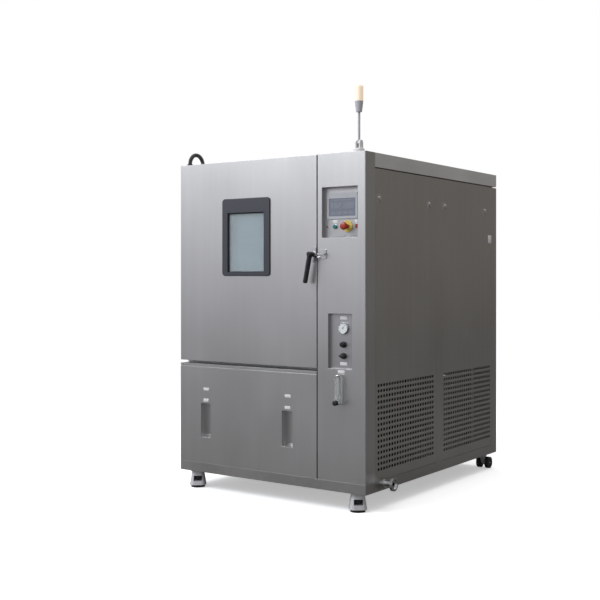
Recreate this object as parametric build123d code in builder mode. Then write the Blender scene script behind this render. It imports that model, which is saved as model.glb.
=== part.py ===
from build123d import *
import os
from math import cos, radians, sin, sqrt

# Environmental test chamber: a walk-up cabinet with one hinged door, a control
# column at its right, a machine room below, and castors under it.
# Millimetres, +Z up. The front faces -Y. The origin is on the floor, under the
# middle of everything that the cabinet and its fittings reach.

os.makedirs("parts", exist_ok=True)

# Overall sizes of the cabinet, from its base beam to its roof
cabinet_width = 1320
cabinet_depth = 1670
cabinet_height = 1850
ground_clearance = 105
machine_room_height = 668
column_width = 313
column_depth = 100
wall_thickness = 100

# Sheet metal, tube and gaps
sheet = 2
pan_sheet = 3
base_sheet = 4
base_height = 56
panel_depth = 20
panel_gap = 2
header_height = 79
header_shadow_gap = 8
tube_size = 40
tube_wall = 3
side_post_width = 60
mid_post_depth = 68
rear_post_depth = 90
seat = 0.3
running = 0.05

# Side panels and their perforated field
front_panel_length = 708
grille_rows = 16
grille_row_pitch = 30.6
grille_column_pitch = 164
grille_slot_length = 150
grille_slot_height = 16
grille_first_row = 63
panel_latch_height = 1602
panel_latch_inset = 43
panel_latch_width = 34
panel_latch_length = 44
panel_latch_thickness = 3
panel_latch_radius = 13
panel_latch_boss = 4
panel_latch_tab = 7

# Door, window and gasket
door_gap = 4
door_top_margin = 2
door_thickness = 60
gasket_thickness = 10
gasket_width = 24
plug_depth = 35
plug_clearance = 8
window_frame_width = 351
window_frame_height = 453
window_frame_radius = 20
window_frame_depth = 8
window_side_band = 42
window_low_band = 22
window_top_band = 84
window_from_door_left = 507.5
window_above_door_middle = 145.5
pane_thickness = 5
pane_inset = 6
sleeve_wall = 3

# Chamber
liner_sheet = 1.5
machine_bay_depth = 303
plenum_depth = 205
shelf_heights = (312, 632)
shelf_wire = 5
shelf_bar = 8
shelf_wires = 9
shelf_rail = 16
shelf_side_gap = 4
baffle_end_gap = 60
baffle_flange = 30
intake_diameter = 240
intake_slots = 7
intake_slot_height = 16
port_bore_radius = 25
port_wall = 3
port_flange_radius = 42
port_flange_thickness = 6
port_from_front = 520
port_height = 1250

# Lower panel
under_door_gap = 18
lower_panel_thickness = 60
lower_panel_groove_height = 6
lower_panel_groove_depth = 5
lower_panel_hem = 12
lower_panel_lift = 14
pocket_width = 80
pocket_height = 207
pocket_depth = 45
pocket_spacing = 602
pocket_middle_height = 313
pocket_sill = 14

# Control column
column_edge_radius = 6
control_recess_width = 235
control_recess_height = 281
control_recess_depth = 30
control_recess_below_buttons = 63
control_recess_from_right = 48
gauge_recess_width = 157
gauge_recess_height = 304
gauge_recess_depth = 20
gauge_recess_below_gauge = 224
gauge_recess_from_right = 85
screen_frame_width = 196
screen_frame_height = 142
screen_frame_depth = 6
screen_width = 172
screen_height = 98
screen_depth = 3
screen_from_right = 165
screen_above_buttons = 113
screen_lens_lift = 8
buttons_below_roof = 401
green_button_from_right = 212
red_button_from_right = 70
small_lamp_from_right = 266
stop_button_from_right = 133
button_radius = 12
button_collar_radius = 15
button_collar_height = 4
button_stand_out = 5
button_travel = 3
button_hole_radius = 13.5
plunger_tail = 14
small_lamp_radius = 6
stop_disc_radius = 33
stop_head_radius = 21
stop_head_height = 18
stop_stand_out = 48
stop_neck_radius = 13
stop_travel = 5
gauge_from_right = 151
gauge_height = 894
gauge_rim_radius = 33
gauge_rim_height = 13
gauge_dial_radius = 29
knob_from_right = 151
regulator_below_gauge = 90
selector_below_regulator = 62
knob_radius = 18
knob_height = 26
knob_stem_radius = 4

# Flow meter on the face of the column
flow_from_right = 160
flow_below_gauge_recess = 42
flow_height = 149
flow_width = 28
flow_depth = 36
flow_bore_radius = 6
flow_bore_margin = 24
float_radius = 5
float_travel = 85
flow_knob_radius = 14
flow_knob_length = 26
flow_fitting_radius = 9
flow_fitting_height = 13

# Door latch
latch_height = 1298
latch_from_right = 335
handle_plate_width = 34
handle_plate_height = 82
handle_plate_thickness = 7
spindle_radius = 5
hub_radius = 15
hub_length = 8
hub_core_radius = 8
lever_stand_out = 40
lever_lean = 11.5
grip_radius = 15
grip_end_radius = 13
grip_length = 163
shank_radius = 6
tongue_reach = 48
tongue_height = 8
tongue_thickness = 8
tongue_drop = 25
keeper_width = 50
keeper_height = 52
keeper_base = 6
keeper_finger_gap = 4
keeper_finger_thickness = 6
keeper_finger_height = 10
keeper_post_width = 14
keeper_from_right = 252

# Door hinges, on the left side of the cabinet
hinge_offset = 14
hinge_knuckle_radius = 11
hinge_pin_radius = 6
hinge_length = 130
hinge_end_distance = 150
hinge_plate = 3
hinge_plate_reach = 50

# Conduit between the door and the roof
conduit_radius = 12
conduit_bend_radius = 60
conduit_from_left = 50
conduit_middle = 90
gland_radius = 17
gland_height = 8

# Signal lamp on the column
lamp_from_right = 75
lamp_from_front = 55
lamp_base_radius = 30
lamp_base_height = 22
lamp_fold_height = 52
lamp_ear_radius = 16
lamp_ear_thickness = 8
lamp_pole_radius = 7
lamp_pole_top = 220
lamp_housing_height = 59
lamp_housing_low_radius = 16.5
lamp_lens_radius = 23.5
lamp_lens_height = 87
lamp_bolt_radius = 4

# Castors and levelling feet
castor_inset = 67
front_castor_inset = 62
front_castor_side_inset = 87
front_castor_turn = 38
rear_castor_inset = 70
castor_plate = 80
castor_plate_thickness = 4
castor_wheel_radius = 37.5
castor_wheel_width = 24
castor_wheel_spacing = 60
castor_trail = 25
castor_axle_radius = 5
castor_fork_width = 28
castor_head_radius = 27
castor_head_height = 10
castor_race_height = 8
foot_plate = 82
foot_plate_thickness = 6
foot_body_top = 70
foot_body_low = 98
foot_body_round = 26
foot_pad_radius = 42
foot_pad_height = 12
foot_body_gap = 3
foot_window_width = 51
foot_window_height = 32
foot_window_middle = 55
foot_stem_radius = 8
thumbwheel_radius = 24
thumbwheel_height = 22

# Fittings on the sides
drain_radius = 14
drain_wall = 2.5
drain_length = 56
drain_flange_radius = 26
drain_flange_thickness = 4
drain_ring_radius = 37
drain_ring_thickness = 15
drain_recess_radius = 28
drain_recess_depth = 8
drain_from_front = 210
drain_height = 32
rear_fitting_radius = 14
rear_fitting_length = 25

# Machines
compressor_radius = 85
compressor_height = 330
compressor_first = 400
compressor_spacing = 250
compressor_from_right = 190
compressor_foot = 12
condenser_width = 620
condenser_height = 440
condenser_depth = 70
condenser_fins = 16
condenser_fin = 6
condenser_fin_depth = 40
condenser_shroud = 30
condenser_bar = 6
condenser_bar_depth = 8
condenser_shaft_reach = 20
condenser_fan_radius = 180
condenser_fan_hub_radius = 38
condenser_fan_blades = 5
blade_root_width = 22
blade_root_thickness = 4
blade_root_twist = 50
blade_tip_width = 90
blade_tip_thickness = 3
blade_tip_twist = 72
fan_wheel_radius = 135
fan_wheel_width = 70
fan_blades = 14
fan_plate = 3
fan_shaft_radius = 8
fan_shaft_clearance = 6
fan_from_baffle = 22
fan_motor_radius = 88
fan_motor_length = 170
fan_motor_flange = 10
coil_side_gap = 93.5
coil_height = 180
coil_depth = 90
coil_fins = 12
coil_fin = 4
coil_fin_depth = 30
coil_tube_radius = 6
coil_tube_reach = 14
heater_radius = 5
pipe_radius = 8
pipe_bend = 40
pipe_rise = 90
pipe_spacing = 40

# How far the fittings stand out past the cabinet's four sides
drain_reach = drain_flange_thickness + drain_length
hinge_reach = hinge_offset + hinge_knuckle_radius
flow_knob_reach = flow_depth + 3 + flow_knob_length
rear_reach = rear_fitting_length

# Faces of the cabinet in the model's frame
middle_x = (hinge_reach - drain_reach) / 2
middle_y = (flow_knob_reach - rear_reach) / 2
left = middle_x - cabinet_width / 2
right = middle_x + cabinet_width / 2
front = middle_y - cabinet_depth / 2
rear = middle_y + cabinet_depth / 2
base_bottom = ground_clearance
base_top = base_bottom + base_height
roof_top = base_bottom + cabinet_height
column_left = right - column_width
column_back = front + column_depth
door_right = column_left - door_gap
door_bottom = base_bottom + machine_room_height
door_top = roof_top - door_top_margin
door_back = front + door_thickness
body_front = door_back + gasket_thickness

# Panels end below the deep return of the roof cap
panel_top = roof_top - header_height - header_shadow_gap
panel_bottom = base_top + panel_gap
front_panel_start = column_back + panel_gap
front_panel_end = front_panel_start + front_panel_length
mid_post_start = front_panel_end + panel_gap
mid_post_end = mid_post_start + mid_post_depth
rear_post_start = rear - rear_post_depth
rear_panel_start = mid_post_end + panel_gap
rear_panel_end = rear_post_start - panel_gap

# Inside of the chamber and its insulation
cavity_left = left + wall_thickness
cavity_right = column_left - wall_thickness
cavity_floor = door_bottom + wall_thickness
cavity_top = roof_top - wall_thickness
cavity_middle_x = (cavity_left + cavity_right) / 2
cavity_middle_z = (cavity_floor + cavity_top) / 2
insulation_back = rear - machine_bay_depth
cavity_back = insulation_back - wall_thickness
baffle_front = cavity_back - plenum_depth - sheet
insulation_left = left + panel_depth
insulation_top = roof_top - sheet


def seen_from_front(y):
    """Plane at depth y that faces the front: local x is to the right and local y is up."""
    return Plane(origin=(0, y, 0), x_dir=(1, 0, 0), z_dir=(0, -1, 0))


def seen_from_right(x):
    """Plane at x that faces right: local x runs to the rear and local y is up."""
    return Plane(origin=(x, 0, 0), x_dir=(0, 1, 0), z_dir=(1, 0, 0))


def seen_from_above(z):
    """Level plane at height z."""
    return Plane.XY.offset(z)


def between(low_a, high_a, low_b, high_b, mode=Mode.ADD):
    """Rectangle between two pairs of edges, in the open sketch."""
    with Locations(((low_a + high_a) / 2, (low_b + high_b) / 2)):
        Rectangle(high_a - low_a, high_b - low_b, mode=mode)


def block(low_x, high_x, low_y, high_y, low_z, high_z, mode=Mode.ADD):
    """Block between three pairs of faces, in the open part."""
    with Locations(((low_x + high_x) / 2, (low_y + high_y) / 2, (low_z + high_z) / 2)):
        Box(high_x - low_x, high_y - low_y, high_z - low_z, mode=mode)


def upright_tube(low_x, high_x, low_y, high_y, low_z, high_z):
    """Square tube along Z, open at both ends, in the open part."""
    block(low_x, high_x, low_y, high_y, low_z, high_z)
    block(low_x + tube_wall, high_x - tube_wall, low_y + tube_wall, high_y - tube_wall,
          low_z, high_z, mode=Mode.SUBTRACT)


def depth_tube(low_x, high_x, low_y, high_y, low_z, high_z):
    """Square tube along Y, open at both ends, in the open part."""
    block(low_x, high_x, low_y, high_y, low_z, high_z)
    block(low_x + tube_wall, high_x - tube_wall, low_y, high_y,
          low_z + tube_wall, high_z - tube_wall, mode=Mode.SUBTRACT)


def cross_tube(low_x, high_x, low_y, high_y, low_z, high_z):
    """Square tube along X, open at both ends, in the open part."""
    block(low_x, high_x, low_y, high_y, low_z, high_z)
    block(low_x, high_x, low_y + tube_wall, high_y - tube_wall,
          low_z + tube_wall, high_z - tube_wall, mode=Mode.SUBTRACT)


# Base: a folded tray, open below, with ribs and a plate over each castor
with BuildPart() as base_frame:
    block(left, right, front, rear, base_bottom, base_top)
    block(left + base_sheet, right - base_sheet, front + base_sheet, rear - base_sheet,
          base_bottom, base_top - pan_sheet, mode=Mode.SUBTRACT)
    rib_count = 2
    for rib in range(1, rib_count + 1):
        rib_y = front + rib * cabinet_depth / (rib_count + 1)
        block(left, right, rib_y - base_sheet / 2, rib_y + base_sheet / 2,
              base_bottom, base_top - pan_sheet)
    front_plate = front_castor_side_inset + foot_plate * 0.7
    for low_x, high_x in ((left, left + front_plate), (right - front_plate, right)):
        block(low_x, high_x, front, front + front_plate, base_bottom, base_bottom + base_sheet)
    rear_plate = rear_castor_inset + castor_plate / 2 + base_sheet
    for low_x, high_x in ((left, left + rear_plate), (right - rear_plate, right)):
        block(low_x, high_x, rear - rear_plate, rear, base_bottom, base_bottom + base_sheet)
base_frame.part.label = "base_frame"
export_step(base_frame.part, "parts/base_frame.step")

# Body frame: square tubes, each its own length, with a weld gap at every joint
rail_bottom = door_bottom - tube_size
post_line = right - side_post_width
inner_post_line = right - panel_depth
rail_starts = (column_back + panel_gap, mid_post_start, insulation_back - tube_size)
with BuildPart() as body_frame:
    # Visible posts of the right side and the rear corners
    upright_tube(post_line, right, mid_post_start, mid_post_end, base_top, panel_top - seat)
    upright_tube(post_line, right, rear_post_start, rear, base_top, panel_top - seat)
    upright_tube(left, left + side_post_width, rear_post_start, rear, base_top, panel_top - seat)
    # Posts behind the right panels
    upright_tube(post_line, inner_post_line, rail_starts[0], rail_starts[0] + tube_size,
                 base_top, panel_top - seat)
    upright_tube(post_line, inner_post_line, rail_starts[2], rail_starts[2] + tube_size,
                 base_top, panel_top - seat)
    # Posts beside the lower panel, under the mouth frame
    for low_x in (left, column_left - tube_size):
        upright_tube(low_x, low_x + tube_size, body_front, column_back - seat,
                     base_top, rail_bottom - seat)
    # Rails that carry the insulated box, on short posts at the left
    for start in rail_starts:
        cross_tube(insulation_left, post_line - seat, start, start + tube_size,
                   rail_bottom, door_bottom)
        upright_tube(insulation_left, insulation_left + tube_size, start, start + tube_size,
                     base_top, rail_bottom - seat)
    # Rails under the roof
    depth_tube(post_line, inner_post_line, column_back + panel_gap, rear - panel_depth,
               panel_top, roof_top - sheet)
    depth_tube(insulation_left, insulation_left + tube_size, insulation_back + seat,
               rear - panel_depth, panel_top, roof_top - sheet)
    cross_tube(insulation_left + tube_size + seat, post_line - seat,
               rear - panel_depth - tube_size, rear - panel_depth, panel_top, roof_top - sheet)
body_frame.part.label = "body_frame"
export_step(body_frame.part, "parts/body_frame.step")

# Mouth frame: the ring that the gasket closes on
with BuildPart() as mouth_frame:
    with BuildSketch(seen_from_front(column_back)):
        between(left, column_left, rail_bottom, roof_top)
        between(cavity_left - liner_sheet, cavity_right + liner_sheet,
                cavity_floor - liner_sheet, cavity_top + liner_sheet, mode=Mode.SUBTRACT)
    extrude(amount=column_back - body_front)
mouth_frame.part.label = "mouth_frame"
export_step(mouth_frame.part, "parts/mouth_frame.step")

# Roof cap: one folded sheet with a deep return all round
with BuildPart() as roof_cap:
    block(left, right, column_back, rear, roof_top - header_height, roof_top)
    block(left + sheet, right - sheet, column_back + sheet, rear - sheet,
          roof_top - header_height, roof_top - sheet, mode=Mode.SUBTRACT)
    # The front return stops at the mouth frame and at the top of the column
    block(left + sheet, right - sheet, column_back, column_back + sheet,
          roof_top - header_height, roof_top - sheet, mode=Mode.SUBTRACT)
roof_cap.part.label = "roof_cap"
export_step(roof_cap.part, "parts/roof_cap.step")


def side_pan(start, end, outer_x, inner_x):
    """Folded panel along Y between two x faces, closed on its outer face, in the open part."""
    outward = 1 if outer_x > inner_x else -1
    low_x = min(outer_x, inner_x)
    high_x = max(outer_x, inner_x)
    block(low_x, high_x, start, end, panel_bottom, panel_top)
    hollow_low = low_x if outward > 0 else low_x + sheet
    hollow_high = high_x - sheet if outward > 0 else high_x
    block(hollow_low, hollow_high, start + sheet, end - sheet,
          panel_bottom + sheet, panel_top - sheet, mode=Mode.SUBTRACT)


# Right side panels with their perforated fields
side_panels = {}
for name, start, end in (("side_panel_front", front_panel_start, front_panel_end),
                         ("side_panel_rear", rear_panel_start, rear_panel_end)):
    with BuildPart() as side_panel:
        side_pan(start, end, right, right - panel_depth)
        columns = int((end - start) / grille_column_pitch)
        grille_middle_z = base_bottom + grille_first_row + base_height
        grille_middle_z += (grille_rows - 1) / 2 * grille_row_pitch
        with BuildSketch(seen_from_right(right - sheet)):
            with Locations(((start + end) / 2, grille_middle_z)):
                with GridLocations(grille_column_pitch, grille_row_pitch,
                                   columns, grille_rows):
                    Rectangle(grille_slot_length, grille_slot_height)
        extrude(amount=sheet, mode=Mode.SUBTRACT)
    side_panel.part.label = name
    export_step(side_panel.part, f"parts/{name}.step")

# Quarter-turn latches near the top corners of the right side panels
latch_plate_z = base_bottom + panel_latch_height
latch_plate_face = right + panel_latch_thickness
with BuildPart() as panel_latches:
    for start, end in ((front_panel_start, front_panel_end), (rear_panel_start, rear_panel_end)):
        for latch_y in (start + panel_latch_inset, end - 2 * panel_latch_inset):
            with BuildSketch(seen_from_right(right)):
                with Locations((latch_y, latch_plate_z)):
                    Rectangle(panel_latch_width, panel_latch_length)
            extrude(amount=panel_latch_thickness)
            with BuildSketch(seen_from_right(latch_plate_face)):
                with Locations((latch_y, latch_plate_z)):
                    Circle(panel_latch_radius)
            extrude(amount=panel_latch_boss)
            with BuildSketch(seen_from_right(latch_plate_face + panel_latch_boss)):
                with Locations((latch_y, latch_plate_z)):
                    Rectangle(panel_latch_tab, 1.6 * panel_latch_radius)
            extrude(amount=panel_latch_boss)
panel_latches.part.label = "panel_latches"
export_step(panel_latches.part, "parts/panel_latches.step")

# Left panel, with the hole of the cable port
port_y = front + port_from_front
port_z = base_bottom + port_height
port_outer_radius = port_bore_radius + port_wall
with BuildPart() as left_panel:
    side_pan(front_panel_start, rear_panel_end, left, insulation_left)
    with BuildSketch(seen_from_right(left)):
        with Locations((port_y, port_z)):
            Circle(port_outer_radius)
    extrude(amount=panel_depth, mode=Mode.SUBTRACT)
left_panel.part.label = "left_panel"
export_step(left_panel.part, "parts/left_panel.step")

# Rear panel with louvre slots behind the condenser
louvre_rows = 12
louvre_pitch = 34
louvre_length = 260
louvre_height = 12
louvre_columns = 2
louvre_column_pitch = 310
louvre_low = 90
with BuildPart() as rear_panel:
    rear_low_x = left + side_post_width + panel_gap
    rear_high_x = right - side_post_width - panel_gap
    block(rear_low_x, rear_high_x, rear - panel_depth, rear, panel_bottom, panel_top)
    block(rear_low_x + sheet, rear_high_x - sheet, rear - panel_depth, rear - sheet,
          panel_bottom + sheet, panel_top - sheet, mode=Mode.SUBTRACT)
    with BuildSketch(seen_from_front(rear)):
        louvre_middle_z = base_top + louvre_low + (louvre_rows - 1) / 2 * louvre_pitch
        with Locations((middle_x, louvre_middle_z)):
            with GridLocations(louvre_column_pitch, louvre_pitch, louvre_columns, louvre_rows):
                Rectangle(louvre_length, louvre_height)
    extrude(amount=sheet, mode=Mode.SUBTRACT)
rear_panel.part.label = "rear_panel"
export_step(rear_panel.part, "parts/rear_panel.step")

# Chamber liner: a stainless box open at the mouth
with BuildPart() as chamber_liner:
    block(cavity_left - liner_sheet, cavity_right + liner_sheet, body_front,
          cavity_back + liner_sheet, cavity_floor - liner_sheet, cavity_top + liner_sheet)
    block(cavity_left, cavity_right, body_front, cavity_back, cavity_floor, cavity_top,
          mode=Mode.SUBTRACT)
    with BuildSketch(seen_from_front(cavity_back + liner_sheet)):
        with Locations((cavity_middle_x, cavity_middle_z)):
            Circle(fan_shaft_radius + fan_shaft_clearance)
    extrude(amount=liner_sheet, mode=Mode.SUBTRACT)
    with BuildSketch(seen_from_right(cavity_left - liner_sheet)):
        with Locations((port_y, port_z)):
            Circle(port_outer_radius)
    extrude(amount=liner_sheet, mode=Mode.SUBTRACT)
chamber_liner.part.label = "chamber_liner"
export_step(chamber_liner.part, "parts/chamber_liner.step")

# Insulation boards round the liner, each its own piece
board_low_z = cavity_floor - liner_sheet
board_high_z = cavity_top + liner_sheet
board_left_x = cavity_left - liner_sheet
board_right_x = cavity_right + liner_sheet
port_gap = port_outer_radius
with BuildPart() as insulation:
    block(insulation_left, column_left, column_back, insulation_back, door_bottom, board_low_z)
    block(insulation_left, column_left, column_back, insulation_back, board_high_z, insulation_top)
    block(board_right_x, column_left, column_back, insulation_back,
          board_low_z + seat, board_high_z - seat)
    # The left wall is four boards round the cable port
    block(insulation_left, board_left_x, column_back, port_y - port_gap,
          board_low_z + seat, board_high_z - seat)
    block(insulation_left, board_left_x, port_y + port_gap, insulation_back,
          board_low_z + seat, board_high_z - seat)
    block(insulation_left, board_left_x, port_y - port_gap + seat, port_y + port_gap - seat,
          board_low_z + seat, port_z - port_gap)
    block(insulation_left, board_left_x, port_y - port_gap + seat, port_y + port_gap - seat,
          port_z + port_gap, board_high_z - seat)
    block(board_left_x + seat, board_right_x - seat, cavity_back + liner_sheet, insulation_back,
          board_low_z + seat, board_high_z - seat)
    with BuildSketch(seen_from_front(insulation_back)):
        with Locations((cavity_middle_x, cavity_middle_z)):
            Circle(fan_shaft_radius + fan_shaft_clearance)
    extrude(amount=wall_thickness - liner_sheet, mode=Mode.SUBTRACT)
insulation.part.label = "insulation"
export_step(insulation.part, "parts/insulation.step")

# Cable port: a flanged tube through the left wall
with BuildPart() as cable_port:
    with BuildSketch(seen_from_right(left)):
        with Locations((port_y, port_z)):
            Circle(port_outer_radius)
            Circle(port_bore_radius, mode=Mode.SUBTRACT)
    extrude(amount=wall_thickness)
    with BuildSketch(seen_from_right(left - port_flange_thickness)):
        with Locations((port_y, port_z)):
            Circle(port_flange_radius)
            Circle(port_bore_radius, mode=Mode.SUBTRACT)
    extrude(amount=port_flange_thickness)
cable_port.part.label = "cable_port"
export_step(cable_port.part, "parts/cable_port.step")

# Rear baffle: the plate in front of the fan, open above and below for the air
with BuildPart() as rear_baffle:
    baffle_low = cavity_floor + baffle_end_gap
    baffle_high = cavity_top - baffle_end_gap
    block(cavity_left, cavity_right, baffle_front, baffle_front + baffle_flange,
          baffle_low, baffle_high)
    block(cavity_left + sheet, cavity_right - sheet, baffle_front + sheet,
          baffle_front + baffle_flange, baffle_low, baffle_high, mode=Mode.SUBTRACT)
    with BuildSketch(seen_from_front(baffle_front + sheet)):
        for slot in range(intake_slots):
            slot_z = (slot - (intake_slots - 1) / 2) * intake_diameter / intake_slots
            half_chord = sqrt((intake_diameter / 2) ** 2 - slot_z ** 2)
            with Locations((cavity_middle_x, cavity_middle_z + slot_z)):
                Rectangle(2 * half_chord, intake_slot_height)
    extrude(amount=sheet, mode=Mode.SUBTRACT)
rear_baffle.part.label = "rear_baffle"
export_step(rear_baffle.part, "parts/rear_baffle.step")

# Wire shelves on their side rails
shelf_front = body_front + plug_depth + gasket_thickness
shelf_back = baffle_front - plug_clearance
with BuildPart() as wire_shelves:
    for shelf_height in shelf_heights:
        shelf_z = cavity_floor + shelf_height
        for wall_x, inward in ((cavity_left, 1), (cavity_right, -1)):
            with BuildSketch(seen_from_front(shelf_back)):
                edge_x = wall_x + inward * sheet
                lip_x = wall_x + inward * shelf_rail
                between(min(wall_x, edge_x), max(wall_x, edge_x), shelf_z - shelf_rail, shelf_z)
                between(min(wall_x, lip_x), max(wall_x, lip_x), shelf_z - sheet, shelf_z)
            extrude(amount=shelf_back - shelf_front)
        low_x = cavity_left + shelf_side_gap
        high_x = cavity_right - shelf_side_gap
        shelf_bottom = shelf_z + seat
        with BuildSketch(seen_from_above(shelf_bottom)):
            between(low_x, high_x, shelf_front, shelf_back)
            between(low_x + shelf_bar, high_x - shelf_bar, shelf_front + shelf_bar,
                    shelf_back - shelf_bar, mode=Mode.SUBTRACT)
        extrude(amount=shelf_bar)
        wire_pitch = (high_x - low_x - shelf_bar) / (shelf_wires + 1)
        with BuildSketch(seen_from_front(shelf_back - shelf_bar)):
            with Locations((cavity_middle_x, shelf_bottom + shelf_bar / 2)):
                with GridLocations(wire_pitch, 1, shelf_wires, 1):
                    RegularPolygon(shelf_wire / 2, 6)
        extrude(amount=shelf_back - shelf_front - 2 * shelf_bar)
wire_shelves.part.label = "wire_shelves"
export_step(wire_shelves.part, "parts/wire_shelves.step")

# Circulation fan: a wheel with blades between two plates, on its shaft
fan_front = baffle_front + sheet + fan_from_baffle
fan_back = fan_front + fan_wheel_width
fan_centre = (cavity_middle_x, cavity_middle_z)
motor_front = insulation_back
shaft_end = motor_front + fan_motor_flange + fan_motor_length / 2
with BuildPart() as circulation_fan:
    with BuildSketch(seen_from_front(fan_back)):
        with Locations(fan_centre):
            Circle(fan_wheel_radius)
    extrude(amount=fan_plate)
    with BuildSketch(seen_from_front(fan_front + fan_plate)):
        with Locations(fan_centre):
            Circle(fan_wheel_radius)
            Circle(fan_wheel_radius * 0.7, mode=Mode.SUBTRACT)
    extrude(amount=fan_plate)
    with BuildSketch(seen_from_front(fan_back - fan_plate)):
        with Locations(fan_centre):
            with PolarLocations(fan_wheel_radius * 0.84, fan_blades):
                Rectangle(fan_wheel_radius * 0.3, fan_plate, rotation=35)
    extrude(amount=fan_wheel_width - 2 * fan_plate)
    with BuildSketch(seen_from_front(fan_back - fan_plate)):
        with Locations(fan_centre):
            Circle(fan_shaft_radius * 2.5)
    extrude(amount=fan_wheel_width / 2)
    with BuildSketch(seen_from_front(shaft_end)):
        with Locations(fan_centre):
            Circle(fan_shaft_radius)
    extrude(amount=shaft_end - fan_back)
circulation_fan.part.label = "circulation_fan"
export_step(circulation_fan.part, "parts/circulation_fan.step")

# Motor of the circulation fan, on the back of the insulated box
with BuildPart() as fan_motor:
    with BuildSketch(seen_from_front(motor_front + fan_motor_flange)):
        with Locations(fan_centre):
            Rectangle(fan_motor_radius * 2.3, fan_motor_radius * 2.3)
    extrude(amount=fan_motor_flange)
    with BuildSketch(seen_from_front(motor_front + fan_motor_flange + fan_motor_length)):
        with Locations(fan_centre):
            Circle(fan_motor_radius)
    extrude(amount=fan_motor_length)
    with BuildSketch(seen_from_front(shaft_end + seat)):
        with Locations(fan_centre):
            Circle(fan_shaft_radius + running)
    extrude(amount=shaft_end + seat - motor_front, mode=Mode.SUBTRACT)
fan_motor.part.label = "fan_motor"
export_step(fan_motor.part, "parts/fan_motor.step")

# Cooling coil below the fan and heater rods above it, in the plenum
coil_z = cavity_middle_z - fan_wheel_radius - coil_height
coil_back = cavity_back - seat
coil_low_x = cavity_left + coil_side_gap
coil_high_x = cavity_right - coil_side_gap
heater_z = cavity_middle_z + fan_wheel_radius + 8 * heater_radius
with BuildPart() as duct_coils:
    block(coil_low_x, coil_high_x, coil_back - coil_depth, coil_back, coil_z, coil_z + coil_height)
    # Air passes between the fins, which stand on the coil's core
    fin_pitch = (coil_high_x - coil_low_x - coil_fin) / coil_fins
    with BuildSketch(seen_from_front(coil_back - coil_depth + coil_fin_depth)):
        with Locations((cavity_middle_x, coil_z + coil_height / 2)):
            with GridLocations(fin_pitch, 1, coil_fins, 1):
                Rectangle(fin_pitch - coil_fin, coil_height)
    extrude(amount=coil_fin_depth, mode=Mode.SUBTRACT)
    for low_x in (coil_low_x - coil_tube_reach, coil_high_x):
        with BuildSketch(seen_from_right(low_x)):
            with Locations((coil_back - coil_depth / 2, coil_z + coil_height / 2)):
                with GridLocations(1, coil_height / 2, 1, 2):
                    RegularPolygon(coil_tube_radius, 8)
        extrude(amount=coil_tube_reach)
    with BuildSketch(seen_from_right(cavity_left + seat)):
        with Locations((fan_front + fan_wheel_width / 2, heater_z)):
            with GridLocations(6 * heater_radius, 1, 2, 1):
                RegularPolygon(heater_radius, 8)
    extrude(amount=cavity_right - cavity_left - 2 * seat)
duct_coils.part.label = "duct_coils"
export_step(duct_coils.part, "parts/duct_coils.step")

# Compressors of the cascade, on the pan behind the front side panel
with BuildPart() as compressors:
    for number in range(2):
        centre = (right - compressor_from_right,
                  front + compressor_first + number * compressor_spacing)
        with BuildSketch(seen_from_above(base_top)):
            with Locations(centre):
                Rectangle(compressor_radius * 2.1, compressor_radius * 2.1)
        extrude(amount=compressor_foot)
        with BuildSketch(seen_from_above(base_top + compressor_foot)):
            with Locations(centre):
                Circle(compressor_radius)
        extrude(amount=compressor_height - compressor_foot)
    dome_edges = compressors.edges().group_by(Axis.Z)[-1]
    chamfer(dome_edges, compressor_radius * 0.25, compressor_radius * 0.5)
compressors.part.label = "compressors"
export_step(compressors.part, "parts/compressors.step")

# Condenser: fins behind the rear panel, with the fan's shroud on its inner face
condenser_back = rear - panel_depth - seat
condenser_front = condenser_back - condenser_depth
shroud_front = condenser_front - condenser_shroud
condenser_middle = (middle_x, base_top + condenser_height / 2)
condenser_fan_bore = condenser_fan_radius + 8
motor_back = condenser_front - seat
condenser_pitch = (condenser_width - condenser_fin) / condenser_fins
with BuildPart() as condenser:
    block(middle_x - condenser_width / 2, middle_x + condenser_width / 2,
          condenser_front, condenser_back, base_top, base_top + condenser_height)
    with BuildSketch(seen_from_front(condenser_back)):
        with Locations(condenser_middle):
            with GridLocations(condenser_pitch, 1, condenser_fins, 1):
                Rectangle(condenser_pitch - condenser_fin, condenser_height)
    extrude(amount=condenser_fin_depth, mode=Mode.SUBTRACT)
    with BuildSketch(seen_from_front(condenser_front)):
        with Locations(condenser_middle):
            Rectangle(condenser_width, condenser_height)
            Circle(condenser_fan_bore, mode=Mode.SUBTRACT)
    extrude(amount=condenser_shroud)
    # Two bars carry the motor in the middle of the shroud
    with BuildSketch(seen_from_front(condenser_front)):
        with Locations(condenser_middle):
            with GridLocations(1, condenser_fan_hub_radius, 1, 2):
                Rectangle(2 * condenser_fan_bore + condenser_bar, condenser_bar)
            Circle(condenser_fan_hub_radius)
    extrude(amount=condenser_bar_depth)
    with BuildSketch(seen_from_front(condenser_front)):
        with Locations(condenser_middle):
            Circle(fan_shaft_radius)
    extrude(amount=condenser_shroud + condenser_shaft_reach)
condenser.part.label = "condenser"
export_step(condenser.part, "parts/condenser.step")

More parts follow.
